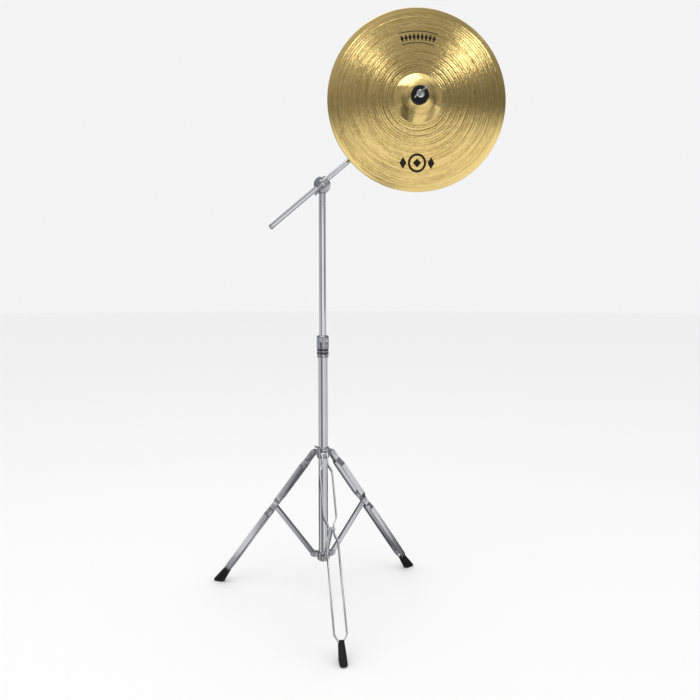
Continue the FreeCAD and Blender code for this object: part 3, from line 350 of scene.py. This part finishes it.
def upper_print(graph, radius, x, y):
    """The printed border over the bell: a row of nine plain diamonds between two arcs."""
    half_length = 4.5 * BORDER_PITCH
    out = graph.math("SUBTRACT", radius, BORDER_R)
    arc = graph.times(graph.math("ARCTAN2", x, y), BORDER_R)
    near = graph.without(graph.step(graph.math("ABSOLUTE", arc), half_length, PRINT_EDGE))
    lines = graph.within(graph.math("ABSOLUTE", out), *BORDER_LINE, PRINT_EDGE)
    turns = graph.math("ADD", graph.math("DIVIDE", arc, BORDER_PITCH), 0.5)
    within_one = graph.math("SUBTRACT", graph.math("FRACT", turns), 0.5)
    diamonds = lozenge(graph, graph.times(within_one, BORDER_PITCH), out, BORDER_DIAMOND)
    return graph.times(near, graph.math("MAXIMUM", lines, diamonds))


def lower_print(graph, x, y):
    """The printed mark under the bell: a plain ring with a diamond inside it and one at each side."""
    lowered = graph.math("SUBTRACT", y, MARK_Y)
    ring = graph.within(graph.length(x, lowered), *MARK_RING, PRINT_EDGE)
    middle = lozenge(graph, x, lowered, MARK_DIAMOND)
    beside = graph.math("SUBTRACT", graph.math("ABSOLUTE", x), MARK_SIDE_X)
    sides = lozenge(graph, beside, lowered, MARK_SIDE_DIAMOND)
    return graph.math("MAXIMUM", ring, graph.math("MAXIMUM", middle, sides))


def turned_noise(graph, place, outwards, around, offset, detail):
    """Noise with no seam round the axis: so many features to the metre outwards, to the radian around."""
    x, y, radius = place
    cosine = graph.times(graph.math("DIVIDE", x, radius), around)
    sine = graph.times(graph.math("DIVIDE", y, radius), around)
    ring = graph.joined(graph.times(radius, outwards), cosine, graph.math("ADD", sine, offset))
    return graph.noise(ring, scale=1.0, detail=detail, roughness=0.5)


def cymbal_metal():
    """Golden cymbal alloy: lathe lines round the axis, tarnish, a polished bell edge and dark prints."""
    graph = finish_graph("cymbal_bronze")
    x, y = graph.parts(graph.place())[:2]
    radius = graph.length(x, y)
    place = (x, y, radius)

    # Lathe lines: noise that changes quickly outwards and slowly round the axis
    fine = turned_noise(graph, place, outwards=1100.0, around=1.0, offset=0.0, detail=3.0)
    broad = turned_noise(graph, place, outwards=210.0, around=1.0, offset=5.0, detail=2.0)
    dashes = turned_noise(graph, place, outwards=300.0, around=10.0, offset=9.0, detail=2.0)

    # The polished places: the outer part of the bell and the rim band
    bell_band = graph.within(radius, *POLISHED_BELL, 1.0 * MM)
    polished = graph.math("MAXIMUM", bell_band, graph.step(radius, POLISHED_RIM_R, 1.5 * MM))
    turned = graph.without(polished)

    pale = colour(0.90, 0.68, 0.27)
    deep = colour(0.52, 0.36, 0.12)
    print_colour = colour(0.020, 0.013, 0.008)
    broken = graph.times(broad, graph.remap(dashes, (0.2, 0.8), (0.6, 1.3)))
    worn = graph.times(graph.remap(broken, (0.38, 0.68), (0.0, 1.0)), turned)
    metal = graph.mix(graph.times(worn, 0.75), pale, deep)
    front = graph.step(graph.parts(graph.facing())[2], 0.0, 0.2)
    prints = graph.math("MAXIMUM", upper_print(graph, radius, x, y), lower_print(graph, x, y))
    ink = graph.times(prints, front)
    graph.set(Base_Color=graph.mix(ink, metal, print_colour), Metallic=graph.without(ink))
    rough = graph.remap(fine, (0.3, 0.7), (0.12, 0.20))
    shine = graph.math("SUBTRACT", rough, graph.times(polished, 0.05))
    graph.set(Roughness=graph.math("ADD", shine, graph.times(ink, 0.30)))
    graph.set(Anisotropic=graph.times(turned, 0.3))
    graph.set(Specular_IOR_Level=graph.math("SUBTRACT", 0.5, graph.times(ink, 0.4)))

    # Height of the lines and of the little dashes that the hammer leaves in them
    lines = graph.bump(graph.times(fine, turned), 0.05 * MM)
    graph.set(Normal=graph.bump(graph.times(dashes, turned), 0.26 * MM, lines))
    tangent = graph.add("Tangent")
    tangent.direction_type = "RADIAL"
    tangent.axis = "Z"
    graph.set(Tangent=tangent.outputs[0], Anisotropic_Rotation=0.25)
    return graph.owner


FINISHES = {
    "chrome_tube": chrome("chrome_tube", (0.80, 0.81, 0.83), (0.045, 0.10), 0.004 * MM),
    "chrome_strip": chrome("chrome_strip", (0.74, 0.75, 0.77), (0.10, 0.19), 0.012 * MM),
    # The castings' tint is far darker than the tubes': painted shade, standing in for the shade in their
    # recesses
    "chrome_casting": chrome("chrome_casting", (0.46, 0.47, 0.49), (0.06, 0.13), 0.012 * MM),
    "chrome_fastener": chrome("chrome_fastener", (0.64, 0.65, 0.67), (0.09, 0.17), 0.020 * MM),
    "black_rubber": rubber(),
    "black_nylon": nylon(),
    "black_felt": felt_cloth(),
    "cymbal_bronze": cymbal_metal(),
}


# ---------------------------------------------------------------- pieces

# How a CAD mesh is rounded: points nearer than the first are one point, faces that meet at less than the
# second are one face, and edges sharper than the third are rounded (in degrees)
SAME_POINT = 0.002 * MM
FLAT_ANGLE = 0.4
SHARP_ANGLE = 32.0


def settle(piece, node, slot):
    """Makes a new piece stand for a CAD node: it rides on that node's body and takes its slot's finish."""
    piece.data.materials.clear()
    piece.data.materials.append(FINISHES[slot])
    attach(piece, BODY_OF[node])
    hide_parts(node)
    return piece


def shade(mesh, angle):
    """Shades a mesh smooth, with sharp edges kept where faces meet at more than the angle."""
    mesh.polygons.foreach_set("use_smooth", [True] * len(mesh.polygons))
    mesh.set_sharp_from_angle(angle=math.radians(angle))


def softened(node, width_mm, segments=2):
    """A copy of a CAD node with its sharp edges rounded, standing for that node."""
    mesh = NODES[node].data.copy()
    working = bmesh.new()
    working.from_mesh(mesh)
    bmesh.ops.remove_doubles(working, verts=working.verts, dist=SAME_POINT)
    flat_angle = math.radians(FLAT_ANGLE)
    bmesh.ops.dissolve_limit(working, angle_limit=flat_angle, verts=working.verts, edges=working.edges)
    working.to_mesh(mesh)
    working.free()
    piece = bpy.data.objects.new(node + "_finished", mesh)
    bpy.context.scene.collection.objects.link(piece)
    bevel = piece.modifiers.new("edges", "BEVEL")
    bevel.width = width_mm * MM
    bevel.segments = segments
    bevel.limit_method = "ANGLE"
    bevel.angle_limit = math.radians(SHARP_ANGLE)
    bevel.use_clamp_overlap = True
    bpy.context.view_layer.update()
    evaluated = piece.evaluated_get(bpy.context.evaluated_depsgraph_get())
    rounded = bpy.data.meshes.new_from_object(evaluated)
    piece.modifiers.clear()
    piece.data = rounded
    rounded.name = piece.name
    shade(rounded, 40.0)
    return settle(piece, node, SLOT_OF[node])


def ring_mesh(name, points):
    """A closed mesh from a grid of points: a row for each point of the outline, a column for each turn."""
    rows, columns, _ = points.shape
    first = np.arange(rows * columns).reshape(rows, columns)
    after = np.roll(first, -1, axis=1)
    below = np.roll(first, -1, axis=0)
    below_after = np.roll(after, -1, axis=0)
    faces = np.stack([first, below, below_after, after], axis=-1).reshape(-1, 4)
    mesh = bpy.data.meshes.new(name)
    mesh.from_pydata(points.reshape(-1, 3).tolist(), [], faces.tolist())
    mesh.update()
    piece = bpy.data.objects.new(name, mesh)
    bpy.context.scene.collection.objects.link(piece)
    return piece


def revolved(radii, heights, segments):
    """Grid points of an outline turned about z; radii and heights may differ from segment to segment."""
    angles = np.linspace(0.0, 2.0 * math.pi, segments, endpoint=False)
    shape = (len(radii), segments)
    radii = np.broadcast_to(np.asarray(radii).reshape(len(radii), -1), shape)
    heights = np.broadcast_to(np.asarray(heights).reshape(len(heights), -1), shape)
    return np.stack([radii * np.cos(angles), radii * np.sin(angles), heights], axis=-1)


# ---------------------------------------------------------------- cymbal

def bow_radius():
    """The radius of the bow's long arc."""
    rim_r = cymbal_rim_radius()
    first = math.sin(math.radians(BOW_SLOPE_START))
    last = math.sin(math.radians(BOW_SLOPE_END))
    return (rim_r - BELL_R) / (last - first)


def cymbal_rim_radius():
    """The cymbal's outer radius, from the CAD."""
    low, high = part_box("cymbal")
    return (high.x - low.x) / 2


def cymbal_height(radius):
    """The front face's height over the bell's pole at each radius, with the bell's foot softened."""
    sphere_r = (BELL_R ** 2 + BELL_HEIGHT ** 2) / (2 * BELL_HEIGHT)
    bell = np.sqrt(np.maximum(sphere_r ** 2 - radius ** 2, 0.0)) - sphere_r
    arc_r = bow_radius()
    first = math.radians(BOW_SLOPE_START)
    centre_r = BELL_R - arc_r * math.sin(first)
    bow = np.sqrt(arc_r ** 2 - (radius - centre_r) ** 2) - BELL_HEIGHT - arc_r * math.cos(first)
    share = np.clip(0.5 + 0.5 * (bell - bow) / BELL_FOOT, 0.0, 1.0)
    return bow + (bell - bow) * share + BELL_FOOT * share * (1.0 - share)


def lathe_grooves(radius, groove, start, end):
    """How deep the lathe's tonal grooves are at each radius: their pitch and depth wander."""
    pitch, depth = groove
    wander = 1.0 + 0.28 * np.sin(radius * 510.0) + 0.20 * np.sin(radius * 1330.0 + 1.0)
    steps = np.concatenate([[0.0], np.diff(radius)]) / (pitch * wander)
    phase = 2.0 * math.pi * np.cumsum(np.abs(steps))
    strength = 0.62 + 0.38 * np.sin(radius * 420.0 + 2.0) * np.sin(radius * 97.0)
    started = np.clip((radius - start) / GROOVE_FADE, 0.0, 1.0)
    unfinished = np.clip((end - radius) / GROOVE_FADE, 0.0, 1.0)
    return depth * strength * (started * unfinished) * (0.5 - 0.5 * np.cos(phase))


def hammer_marks(radii, depth):
    """How deep the hammer's marks are on a grid of radii and segments: rings of shallow, uneven dents."""
    random = np.random.default_rng(DENT_SEED)
    full_turn = 2.0 * math.pi
    first_r = BELL_R + 10.0 * MM
    last_r = cymbal_rim_radius() - RIM_BAND - 4.0 * MM
    angles = np.linspace(0.0, full_turn, CYMBAL_SEGMENTS, endpoint=False)
    field = np.zeros((len(radii), CYMBAL_SEGMENTS))
    for ring_r in np.arange(first_r, last_r, DENT_RING_SPACING):
        count = int(full_turn * ring_r / DENT_SPACING)
        offset = random.uniform(0.0, full_turn)
        for number in range(count):
            centre_r = ring_r + random.normal(0.0, 2.2 * MM)
            centre_angle = offset + full_turn * (number + random.normal(0.0, 0.22)) / count
            size_r = random.uniform(1.7, 2.9) * MM
            size_along = random.uniform(8.0, 14.0) * MM
            strength = depth * random.uniform(0.35, 1.0)
            near = np.abs(radii - centre_r) < 3.0 * size_r
            gap = (angles - centre_angle + math.pi) % full_turn - math.pi
            across = np.exp(-0.5 * ((radii[near] - centre_r) / size_r) ** 2)
            along = np.exp(-0.5 * (gap * centre_r / size_along) ** 2)
            field[near] += strength * across[:, None] * along[None, :]
    return field


def surface(radius):
    """The plain front face at each radius: its height, and the two parts of its outward normal."""
    height = cymbal_height(radius)
    reach = 0.05 * MM
    slope = (cymbal_height(radius + reach) - cymbal_height(radius - reach)) / (2 * reach)
    length = np.sqrt(1.0 + slope ** 2)
    return height, -slope / length, 1.0 / length


def face_rows(radii, depth):
    """Grid points of a face that lies a depth under the plain front face; depth is a grid too."""
    height, normal_r, normal_z = surface(radii)
    across = radii[:, None] - normal_r[:, None] * depth
    up = height[:, None] - normal_z[:, None] * depth
    return revolved(across, up, CYMBAL_SEGMENTS)


def front_face(hole_r, edge_r):
    """The front: grooves on the bell and the bow, and hammer marks on the bow."""
    foot_start, foot_end = BELL_FOOT_BAND
    band_start = cymbal_rim_radius() - RIM_BAND
    radii = np.concatenate([
        np.linspace(hole_r, FLAT_TOP_R, 10, endpoint=False),
        np.arange(FLAT_TOP_R, BELL_LATHED_R, 0.75 * MM),
        np.linspace(BELL_LATHED_R, foot_start, 8, endpoint=False),
        np.linspace(foot_start, foot_end, 9, endpoint=False),
        np.arange(foot_end, band_start, 0.9 * MM),
        np.linspace(band_start, edge_r, 8),
    ])
    bow_start = BELL_R + 2.0 * MM
    bow_end = band_start + 1.0 * MM
    bow_cut = lathe_grooves(radii, BOW_GROOVES, bow_start, bow_end)
    bow_cut = bow_cut + lathe_grooves(radii, BOW_FINE_GROOVES, bow_start, bow_end)
    bell_cut = lathe_grooves(radii, BELL_GROOVES, FLAT_TOP_R + 1.0 * MM, BELL_LATHED_R - 1.0 * MM)
    return face_rows(radii, (bow_cut + bell_cut)[:, None] + hammer_marks(radii, FRONT_DENT))


def back_face(hole_r, edge_r):
    """The back, from the rim inwards: fainter grooves, and the same hammer marks standing proud."""
    foot_start, foot_end = BELL_FOOT_BAND
    radii = np.concatenate([
        np.linspace(edge_r, foot_end, 62, endpoint=False),
        np.linspace(foot_end, foot_start, 6, endpoint=False),
        np.linspace(foot_start, hole_r, 16),
    ])
    start = BELL_R + 4.0 * MM
    end = cymbal_rim_radius() - RIM_BAND
    cut = lathe_grooves(radii[::-1], BACK_GROOVES, start, end)[::-1]
    return face_rows(radii, CYMBAL_THICK - cut[:, None] + hammer_marks(radii, BACK_DENT))


def rim_rows(edge_r):
    """The rounded rim, from the front face to the back."""
    half = CYMBAL_THICK / 2
    turns = np.linspace(0.0, math.pi, 7)[1:-1]
    height, normal_r, normal_z = surface(np.array([edge_r]))
    across = edge_r - normal_r * half + half * (normal_r * np.cos(turns) + normal_z * np.sin(turns))
    up = height - normal_z * half + half * (normal_z * np.cos(turns) - normal_r * np.sin(turns))
    return revolved(across, up, CYMBAL_SEGMENTS)


def cymbal_piece():
    """The cymbal: both faces with lathe grooves and hammer marks, a rounded rim and a finished hole."""
    low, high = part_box("cymbal")
    edge_r = cymbal_rim_radius() - CYMBAL_THICK / 2
    hole_r = CYMBAL_HOLE_R + HOLE_EDGE
    hole_top = cymbal_height(np.array([CYMBAL_HOLE_R]))[0]
    wall_steps = np.array([0.75, 0.5, 0.25]) * CYMBAL_THICK
    wall = revolved(np.full(3, CYMBAL_HOLE_R), hole_top - wall_steps, CYMBAL_SEGMENTS)
    rows = [front_face(hole_r, edge_r), rim_rows(edge_r), back_face(hole_r, edge_r), wall]
    piece = ring_mesh("cymbal_sheet", np.concatenate(rows))
    shade(piece.data, 45.0)
    # Its own frame: z along the cymbal's axis, towards the front, from the pole of the bell
    piece.rotation_euler = (math.pi / 2, 0.0, 0.0)
    piece.location = ((low.x + high.x) / 2, low.y + hole_top, (low.z + high.z) / 2)
    return settle(piece, "cymbal", "cymbal_bronze")


# ---------------------------------------------------------------- felts

def felt_outline(outer, thick, shape):
    """Half a felt's section: up the hole's wall, over the crown, round both rims, in along the bottom."""
    corner_low, corner_high, crown = shape
    rim_end = thick - crown - corner_high
    outline = []
    for share in np.linspace(0.0, 1.0, 14):
        outline.append((FELT_HOLE_R + (outer - corner_low - FELT_HOLE_R) * share, 0.0))
    for turn in np.radians(np.linspace(0.0, 90.0, 9)[1:]):
        outline.append((outer - corner_low * (1 - math.sin(turn)), corner_low * (1 - math.cos(turn))))
    for share in np.linspace(0.0, 1.0, 10)[1:]:
        outline.append((outer, corner_low + (rim_end - corner_low) * share))
    for turn in np.radians(np.linspace(0.0, 90.0, 10)[1:]):
        outline.append((outer - corner_high * (1 - math.cos(turn)), rim_end + corner_high * math.sin(turn)))
    for share in np.linspace(0.0, 1.0, 14)[1:]:
        radius = (outer - corner_high) + (FELT_HOLE_R - outer + corner_high) * share
        outline.append((radius, thick - crown + crown * math.sin(share * math.pi / 2)))
    for share in np.linspace(1.0, 0.0, 10)[1:-1]:
        outline.append((FELT_HOLE_R, thick * share))
    # Put down the other way round, it is turned here so that the faces between its rows look outwards
    return outline[::-1]


def felt_piece(node, shape):
    """A felt washer: a pressed disc with full rims, a low crown and a matted, uneven surface."""
    low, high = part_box(node)
    outline = felt_outline((high.x - low.x) / 2, high.y - low.y, shape)
    radii, heights = (np.array(column) for column in zip(*outline))
    piece = ring_mesh(node + "_wool", revolved(radii, heights, FELT_SEGMENTS))
    shade(piece.data, 180.0)
    piece.data.update()
    for vertex in piece.data.vertices:
        away = math.hypot(vertex.co.x, vertex.co.y)
        if away > FELT_HOLE_R + 1.0 * MM:
            coarse = noise.noise(vertex.co * 160.0)
            fine = noise.noise(vertex.co * 900.0 + Vector((3.0, 1.0, 7.0)))
            vertex.co -= vertex.normal * FELT_FUZZ * (1.1 - 0.9 * coarse - 0.8 * fine)
    piece.rotation_euler = (math.pi / 2, 0.0, 0.0)
    piece.location = ((low.x + high.x) / 2, high.y, (low.z + high.z) / 2)
    return settle(piece, node, "black_felt")


# ---------------------------------------------------------------- dressing the frame

SOFT_EDGES_MM = {
    "sliding_collar": 0.5, "lower_collar": 0.5, "height_clamp": 0.4, "memory_lock": 0.4,
    "boom_socket": 0.35, "boom_clamp": 0.35, "tilter_base": 0.35, "tilter_arm": 0.5,
    "boom_eyebolt": 0.2, "cup_washer": 0.4, "clamp_ring": 0.3, "height_bushing": 0.3, "boom_sleeve": 0.3,
}
WING_EDGES_MM = {
    "collar_wing_bolt": 1.2, "height_wing_bolt": 1.2, "tilter_wing_bolt": 1.2,
    "boom_wing_nut": 1.4, "top_wing_nut": 1.2,
}
STRIP_EDGE_MM = 0.5
FOOT_EDGE_MM = 1.2


def dress_frame():
    """Gives every CAD node its finish, and rounds the edges of the ones that show them."""
    for name, item in NODES.items():
        for holder in item.material_slots:
            holder.link = "OBJECT"
            holder.material = FINISHES[SLOT_OF[name]]
    for name, width in SOFT_EDGES_MM.items():
        softened(name, width)
    for name, width in WING_EDGES_MM.items():
        softened(name, width, segments=3)
    for name in sorted(NODES):
        if "_strip_" in name or name in ("brace_front", "brace_left", "brace_right"):
            softened(name, STRIP_EDGE_MM)
        elif name.startswith("foot_"):
            softened(name, FOOT_EDGE_MM, segments=3)


# ---------------------------------------------------------------- studio

# What shiny surfaces see in each direction round the stand, counted from the camera's side towards +X:
# (start and end in degrees, how bright), over a mid-grey tent. The floor glows with painted bands of its
# own, near and far, seen only by shiny surfaces: a painted reflection, not real cards.
TENT_GREY = 0.34
TENT_CARDS = (
    (-150.0, -112.0, 0.75), (-84.0, -70.0, 0.70), (-42.0, -24.0, 0.20), (-18.0, 44.0, 1.0),
    (50.0, 60.0, 0.10), (100.0, 128.0, 0.65), (150.0, 162.0, 0.08),
)
# The floor's painted reflection: the grey it glows with, and its painted bands far and near
FLOOR_GLOW_GREY = 0.44
FAR_PAINTED_BANDS = (
    (-150.0, -112.0, 0.75), (-84.0, -70.0, 0.80), (-42.0, -24.0, 0.20), (-18.0, 44.0, 0.95),
    (58.0, 100.0, 0.80), (150.0, 162.0, 0.15),
)
NEAR_PAINTED_BANDS = (
    (-150.0, -112.0, 0.75), (-84.0, -64.0, 0.80), (-46.0, -17.0, 0.17), (-11.0, -3.0, 0.30),
    (3.0, 46.0, 0.85), (64.0, 100.0, 0.80), (150.0, 162.0, 0.15),
)
NEAR_REACH = 9.0
NEAR_FADE = 1.5

# The dark places behind the stand, which edge the boom in black: one from low to high in the tent (as the
# z of a direction), and a painted dark patch in the floor's painted reflection, out to a reach
BACK_LEVEL = 0.08
BACK_RISE = (0.34, 0.84)
BACK_REACH = 1.4
BACK_FADE = 0.3
CARD_EDGE = 3.0                 # how soft a card's edge is, in degrees
TOP_FROM = 0.80                 # where the bright top of the tent starts, as the z of a direction
PALE = 0.86                     # the floor's own colour
FLOOR_R = 30.0
BACKDROP = 0.90                 # what the camera sees beyond the floor
EVEN_LIGHT = 1.04               # what matt surfaces get from the whole tent

# Over the camera the tent is dim, so that the cymbal's grooves show: its sides in degrees, how it brightens
# upwards from low to high (as the z of a direction), and from right to left
DIM_SIDES = (-48.0, 64.0)
DIM_SIDE_EDGE = 12.0
DIM_FROM = 0.165
DIM_EDGE = 0.07
DIM_RISE = (0.20, 0.50)
DIM_LEVELS = (0.12, 0.31)
DIM_LEAN = ((-10.0, 25.0), (1.55, 0.95))

# The soft boxes for the cymbal's two bright fans: name, azimuth and elevation from the bell, size and power
FAN_DISTANCE = 3.0
FANS = (("fan_left", -9.0, 29.5, 0.34, 0.85), ("fan_right", 26.0, 29.5, 0.46, 1.9))
OVERHEAD_PLACE = (-0.4, -0.5, 3.4)
OVERHEAD_SIZE = 1.6
OVERHEAD_POWER = 14.0


def card_pattern(graph, azimuth, grey, cards):
    """How bright the tent, or the floor's painted reflection, is at an azimuth: its grey, with the light and
    dark bands set into it.
    """
    level = grey
    for start, end, bright in cards:
        card = graph.within(azimuth, math.radians(start), math.radians(end), math.radians(CARD_EDGE))
        level = graph.math("ADD", level, graph.times(card, bright - grey))
    return level


def painted_floor_reflection(graph):
    """The floor's painted reflection: how brightly it glows to shiny surfaces at each place, in near and far
    bands and a painted dark patch behind.
    """
    low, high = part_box("base_tube")
    x, y = graph.parts(graph.place())[:2]
    across = graph.math("SUBTRACT", x, (low.x + high.x) / 2)
    forward = graph.math("SUBTRACT", (low.y + high.y) / 2, y)
    azimuth = graph.math("ARCTAN2", across, forward)
    distance = graph.length(across, forward)
    beyond = graph.step(distance, NEAR_REACH, NEAR_FADE)
    near = card_pattern(graph, azimuth, FLOOR_GLOW_GREY, NEAR_PAINTED_BANDS)
    far = card_pattern(graph, azimuth, FLOOR_GLOW_GREY, FAR_PAINTED_BANDS)
    backward = graph.step(graph.times(forward, -1.0), 0.10, 0.10)
    behind = graph.times(backward, graph.without(graph.step(distance, BACK_REACH, BACK_FADE)))
    return graph.blend(behind, graph.blend(beyond, near, far), BACK_LEVEL)


def make_floor():
    """A wide plain pale floor; to shiny surfaces only, it glows in painted bands of light and dark, a
    painted reflection.
    """
    graph = finish_graph("studio_floor")
    graph.set(Base_Color=colour(PALE, PALE, PALE), Roughness=0.8, Specular_IOR_Level=0.1)
    # To glossy rays the floor is an emission: a painted reflection, glowing bands that stand in for cards
    # that are not there
    floor_reflection_glow = graph.add("Emission")
    graph.feed(floor_reflection_glow.inputs["Strength"], painted_floor_reflection(graph))
    chosen = graph.add("MixShader")
    graph.feed(chosen.inputs[0], graph.add("LightPath").outputs["Is Glossy Ray"])
    graph.feed(chosen.inputs[1], graph.shader.outputs[0])
    graph.feed(chosen.inputs[2], floor_reflection_glow.outputs[0])
    graph.feed(graph.tree.nodes["Material Output"].inputs[0], chosen.outputs[0])
    centre = (0.0, 0.0, 0.0)
    bpy.ops.mesh.primitive_circle_add(vertices=96, radius=FLOOR_R, fill_type="NGON", location=centre)
    floor = bpy.context.object
    floor.name = "studio_floor"
    floor.data.materials.append(graph.owner)


def tent_level(graph):
    """What shiny surfaces see in each direction: cards, the dim front, the dark back and the bright top."""
    x, y, z = graph.parts(graph.add("TexCoord").outputs["Generated"])
    azimuth = graph.math("ARCTAN2", x, graph.times(y, -1.0))
    left, right = [math.radians(side) for side in DIM_SIDES]
    front = graph.within(azimuth, left, right, math.radians(DIM_SIDE_EDGE))
    over_camera = graph.times(graph.step(z, DIM_FROM, DIM_EDGE), front)
    lean = graph.remap(azimuth, [math.radians(side) for side in DIM_LEAN[0]], DIM_LEAN[1])
    dim = graph.times(graph.remap(z, DIM_RISE, DIM_LEVELS), lean)
    level = graph.blend(over_camera, card_pattern(graph, azimuth, TENT_GREY, TENT_CARDS), dim)
    back = graph.times(graph.step(y, 0.15, 0.15), graph.within(z, *BACK_RISE, 0.06))
    level = graph.blend(back, level, BACK_LEVEL)
    return graph.blend(graph.step(z, TOP_FROM, 0.10), level, 1.0)


def make_world():
    """A light tent: a backdrop for the camera, even light for matt surfaces and cards for shiny ones."""
    world = bpy.data.worlds.new("light_tent")
    bpy.context.scene.world = world
    graph = Graph(world)
    graph.tree.nodes.clear()
    path = graph.add("LightPath")
    strength = graph.blend(path.outputs["Is Glossy Ray"], EVEN_LIGHT, tent_level(graph))
    tent = graph.add("Background")
    tent.inputs["Color"].default_value = colour(1.0, 1.0, 1.0)
    graph.feed(tent.inputs["Strength"], graph.blend(path.outputs["Is Camera Ray"], strength, BACKDROP))
    output = graph.add("OutputWorld")
    graph.feed(output.inputs[0], tent.outputs[0])


def soft_light(name, location, target, size, power):
    """A square soft box that faces a point."""
    data = bpy.data.lights.new(name, "AREA")
    data.shape = "RECTANGLE"
    data.size = size
    data.size_y = size
    data.energy = power
    light = bpy.data.objects.new(name, data)
    bpy.context.scene.collection.objects.link(light)
    light.location = location
    light.rotation_euler = (Vector(target) - Vector(location)).to_track_quat("-Z", "Y").to_euler()


def polar_offset(azimuth, elevation, distance):
    """A step from a point, with azimuth counted from -Y towards +X."""
    turn, rise = math.radians(azimuth), math.radians(elevation)
    ahead = math.cos(rise)
    return distance * Vector((math.sin(turn) * ahead, -math.cos(turn) * ahead, math.sin(rise)))


def make_lights():
    """Two small soft boxes over the camera for the cymbal's fans, and one overhead for soft shadows."""
    bell = Vector(JOINTS["cymbal_spin"]["pos_m"])
    for name, azimuth, elevation, size, power in FANS:
        place = bell + polar_offset(azimuth, elevation, FAN_DISTANCE)
        soft_light(name, place, bell, size, power)
    soft_light("overhead", OVERHEAD_PLACE, (0.0, 0.0, 0.0), OVERHEAD_SIZE, OVERHEAD_POWER)


def make_camera():
    """The camera in front of the stand's tubes."""
    low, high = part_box("base_tube")
    axis_x = (low.x + high.x) / 2
    axis_y = (low.y + high.y) / 2
    data = bpy.data.cameras.new("camera")
    data.lens = CAMERA_LENS_MM
    data.sensor_width = CAMERA_SENSOR_MM
    camera = bpy.data.objects.new("camera", data)
    bpy.context.scene.collection.objects.link(camera)
    camera.location = (axis_x, axis_y - CAMERA_DISTANCE, CAMERA_HEIGHT)
    pitch, yaw = math.radians(CAMERA_PITCH), math.radians(CAMERA_YAW)
    look = Vector((math.sin(yaw) * math.cos(pitch), math.cos(yaw) * math.cos(pitch), math.sin(pitch)))
    camera.rotation_euler = look.to_track_quat("-Z", "Y").to_euler()
    bpy.context.scene.camera = camera


dress_frame()
cymbal_piece()
felt_piece("lower_felt", LOWER_FELT)
felt_piece("upper_felt", UPPER_FELT)
make_floor()
make_world()
make_lights()
make_camera()
bpy.context.scene.view_settings.view_transform = "Standard"
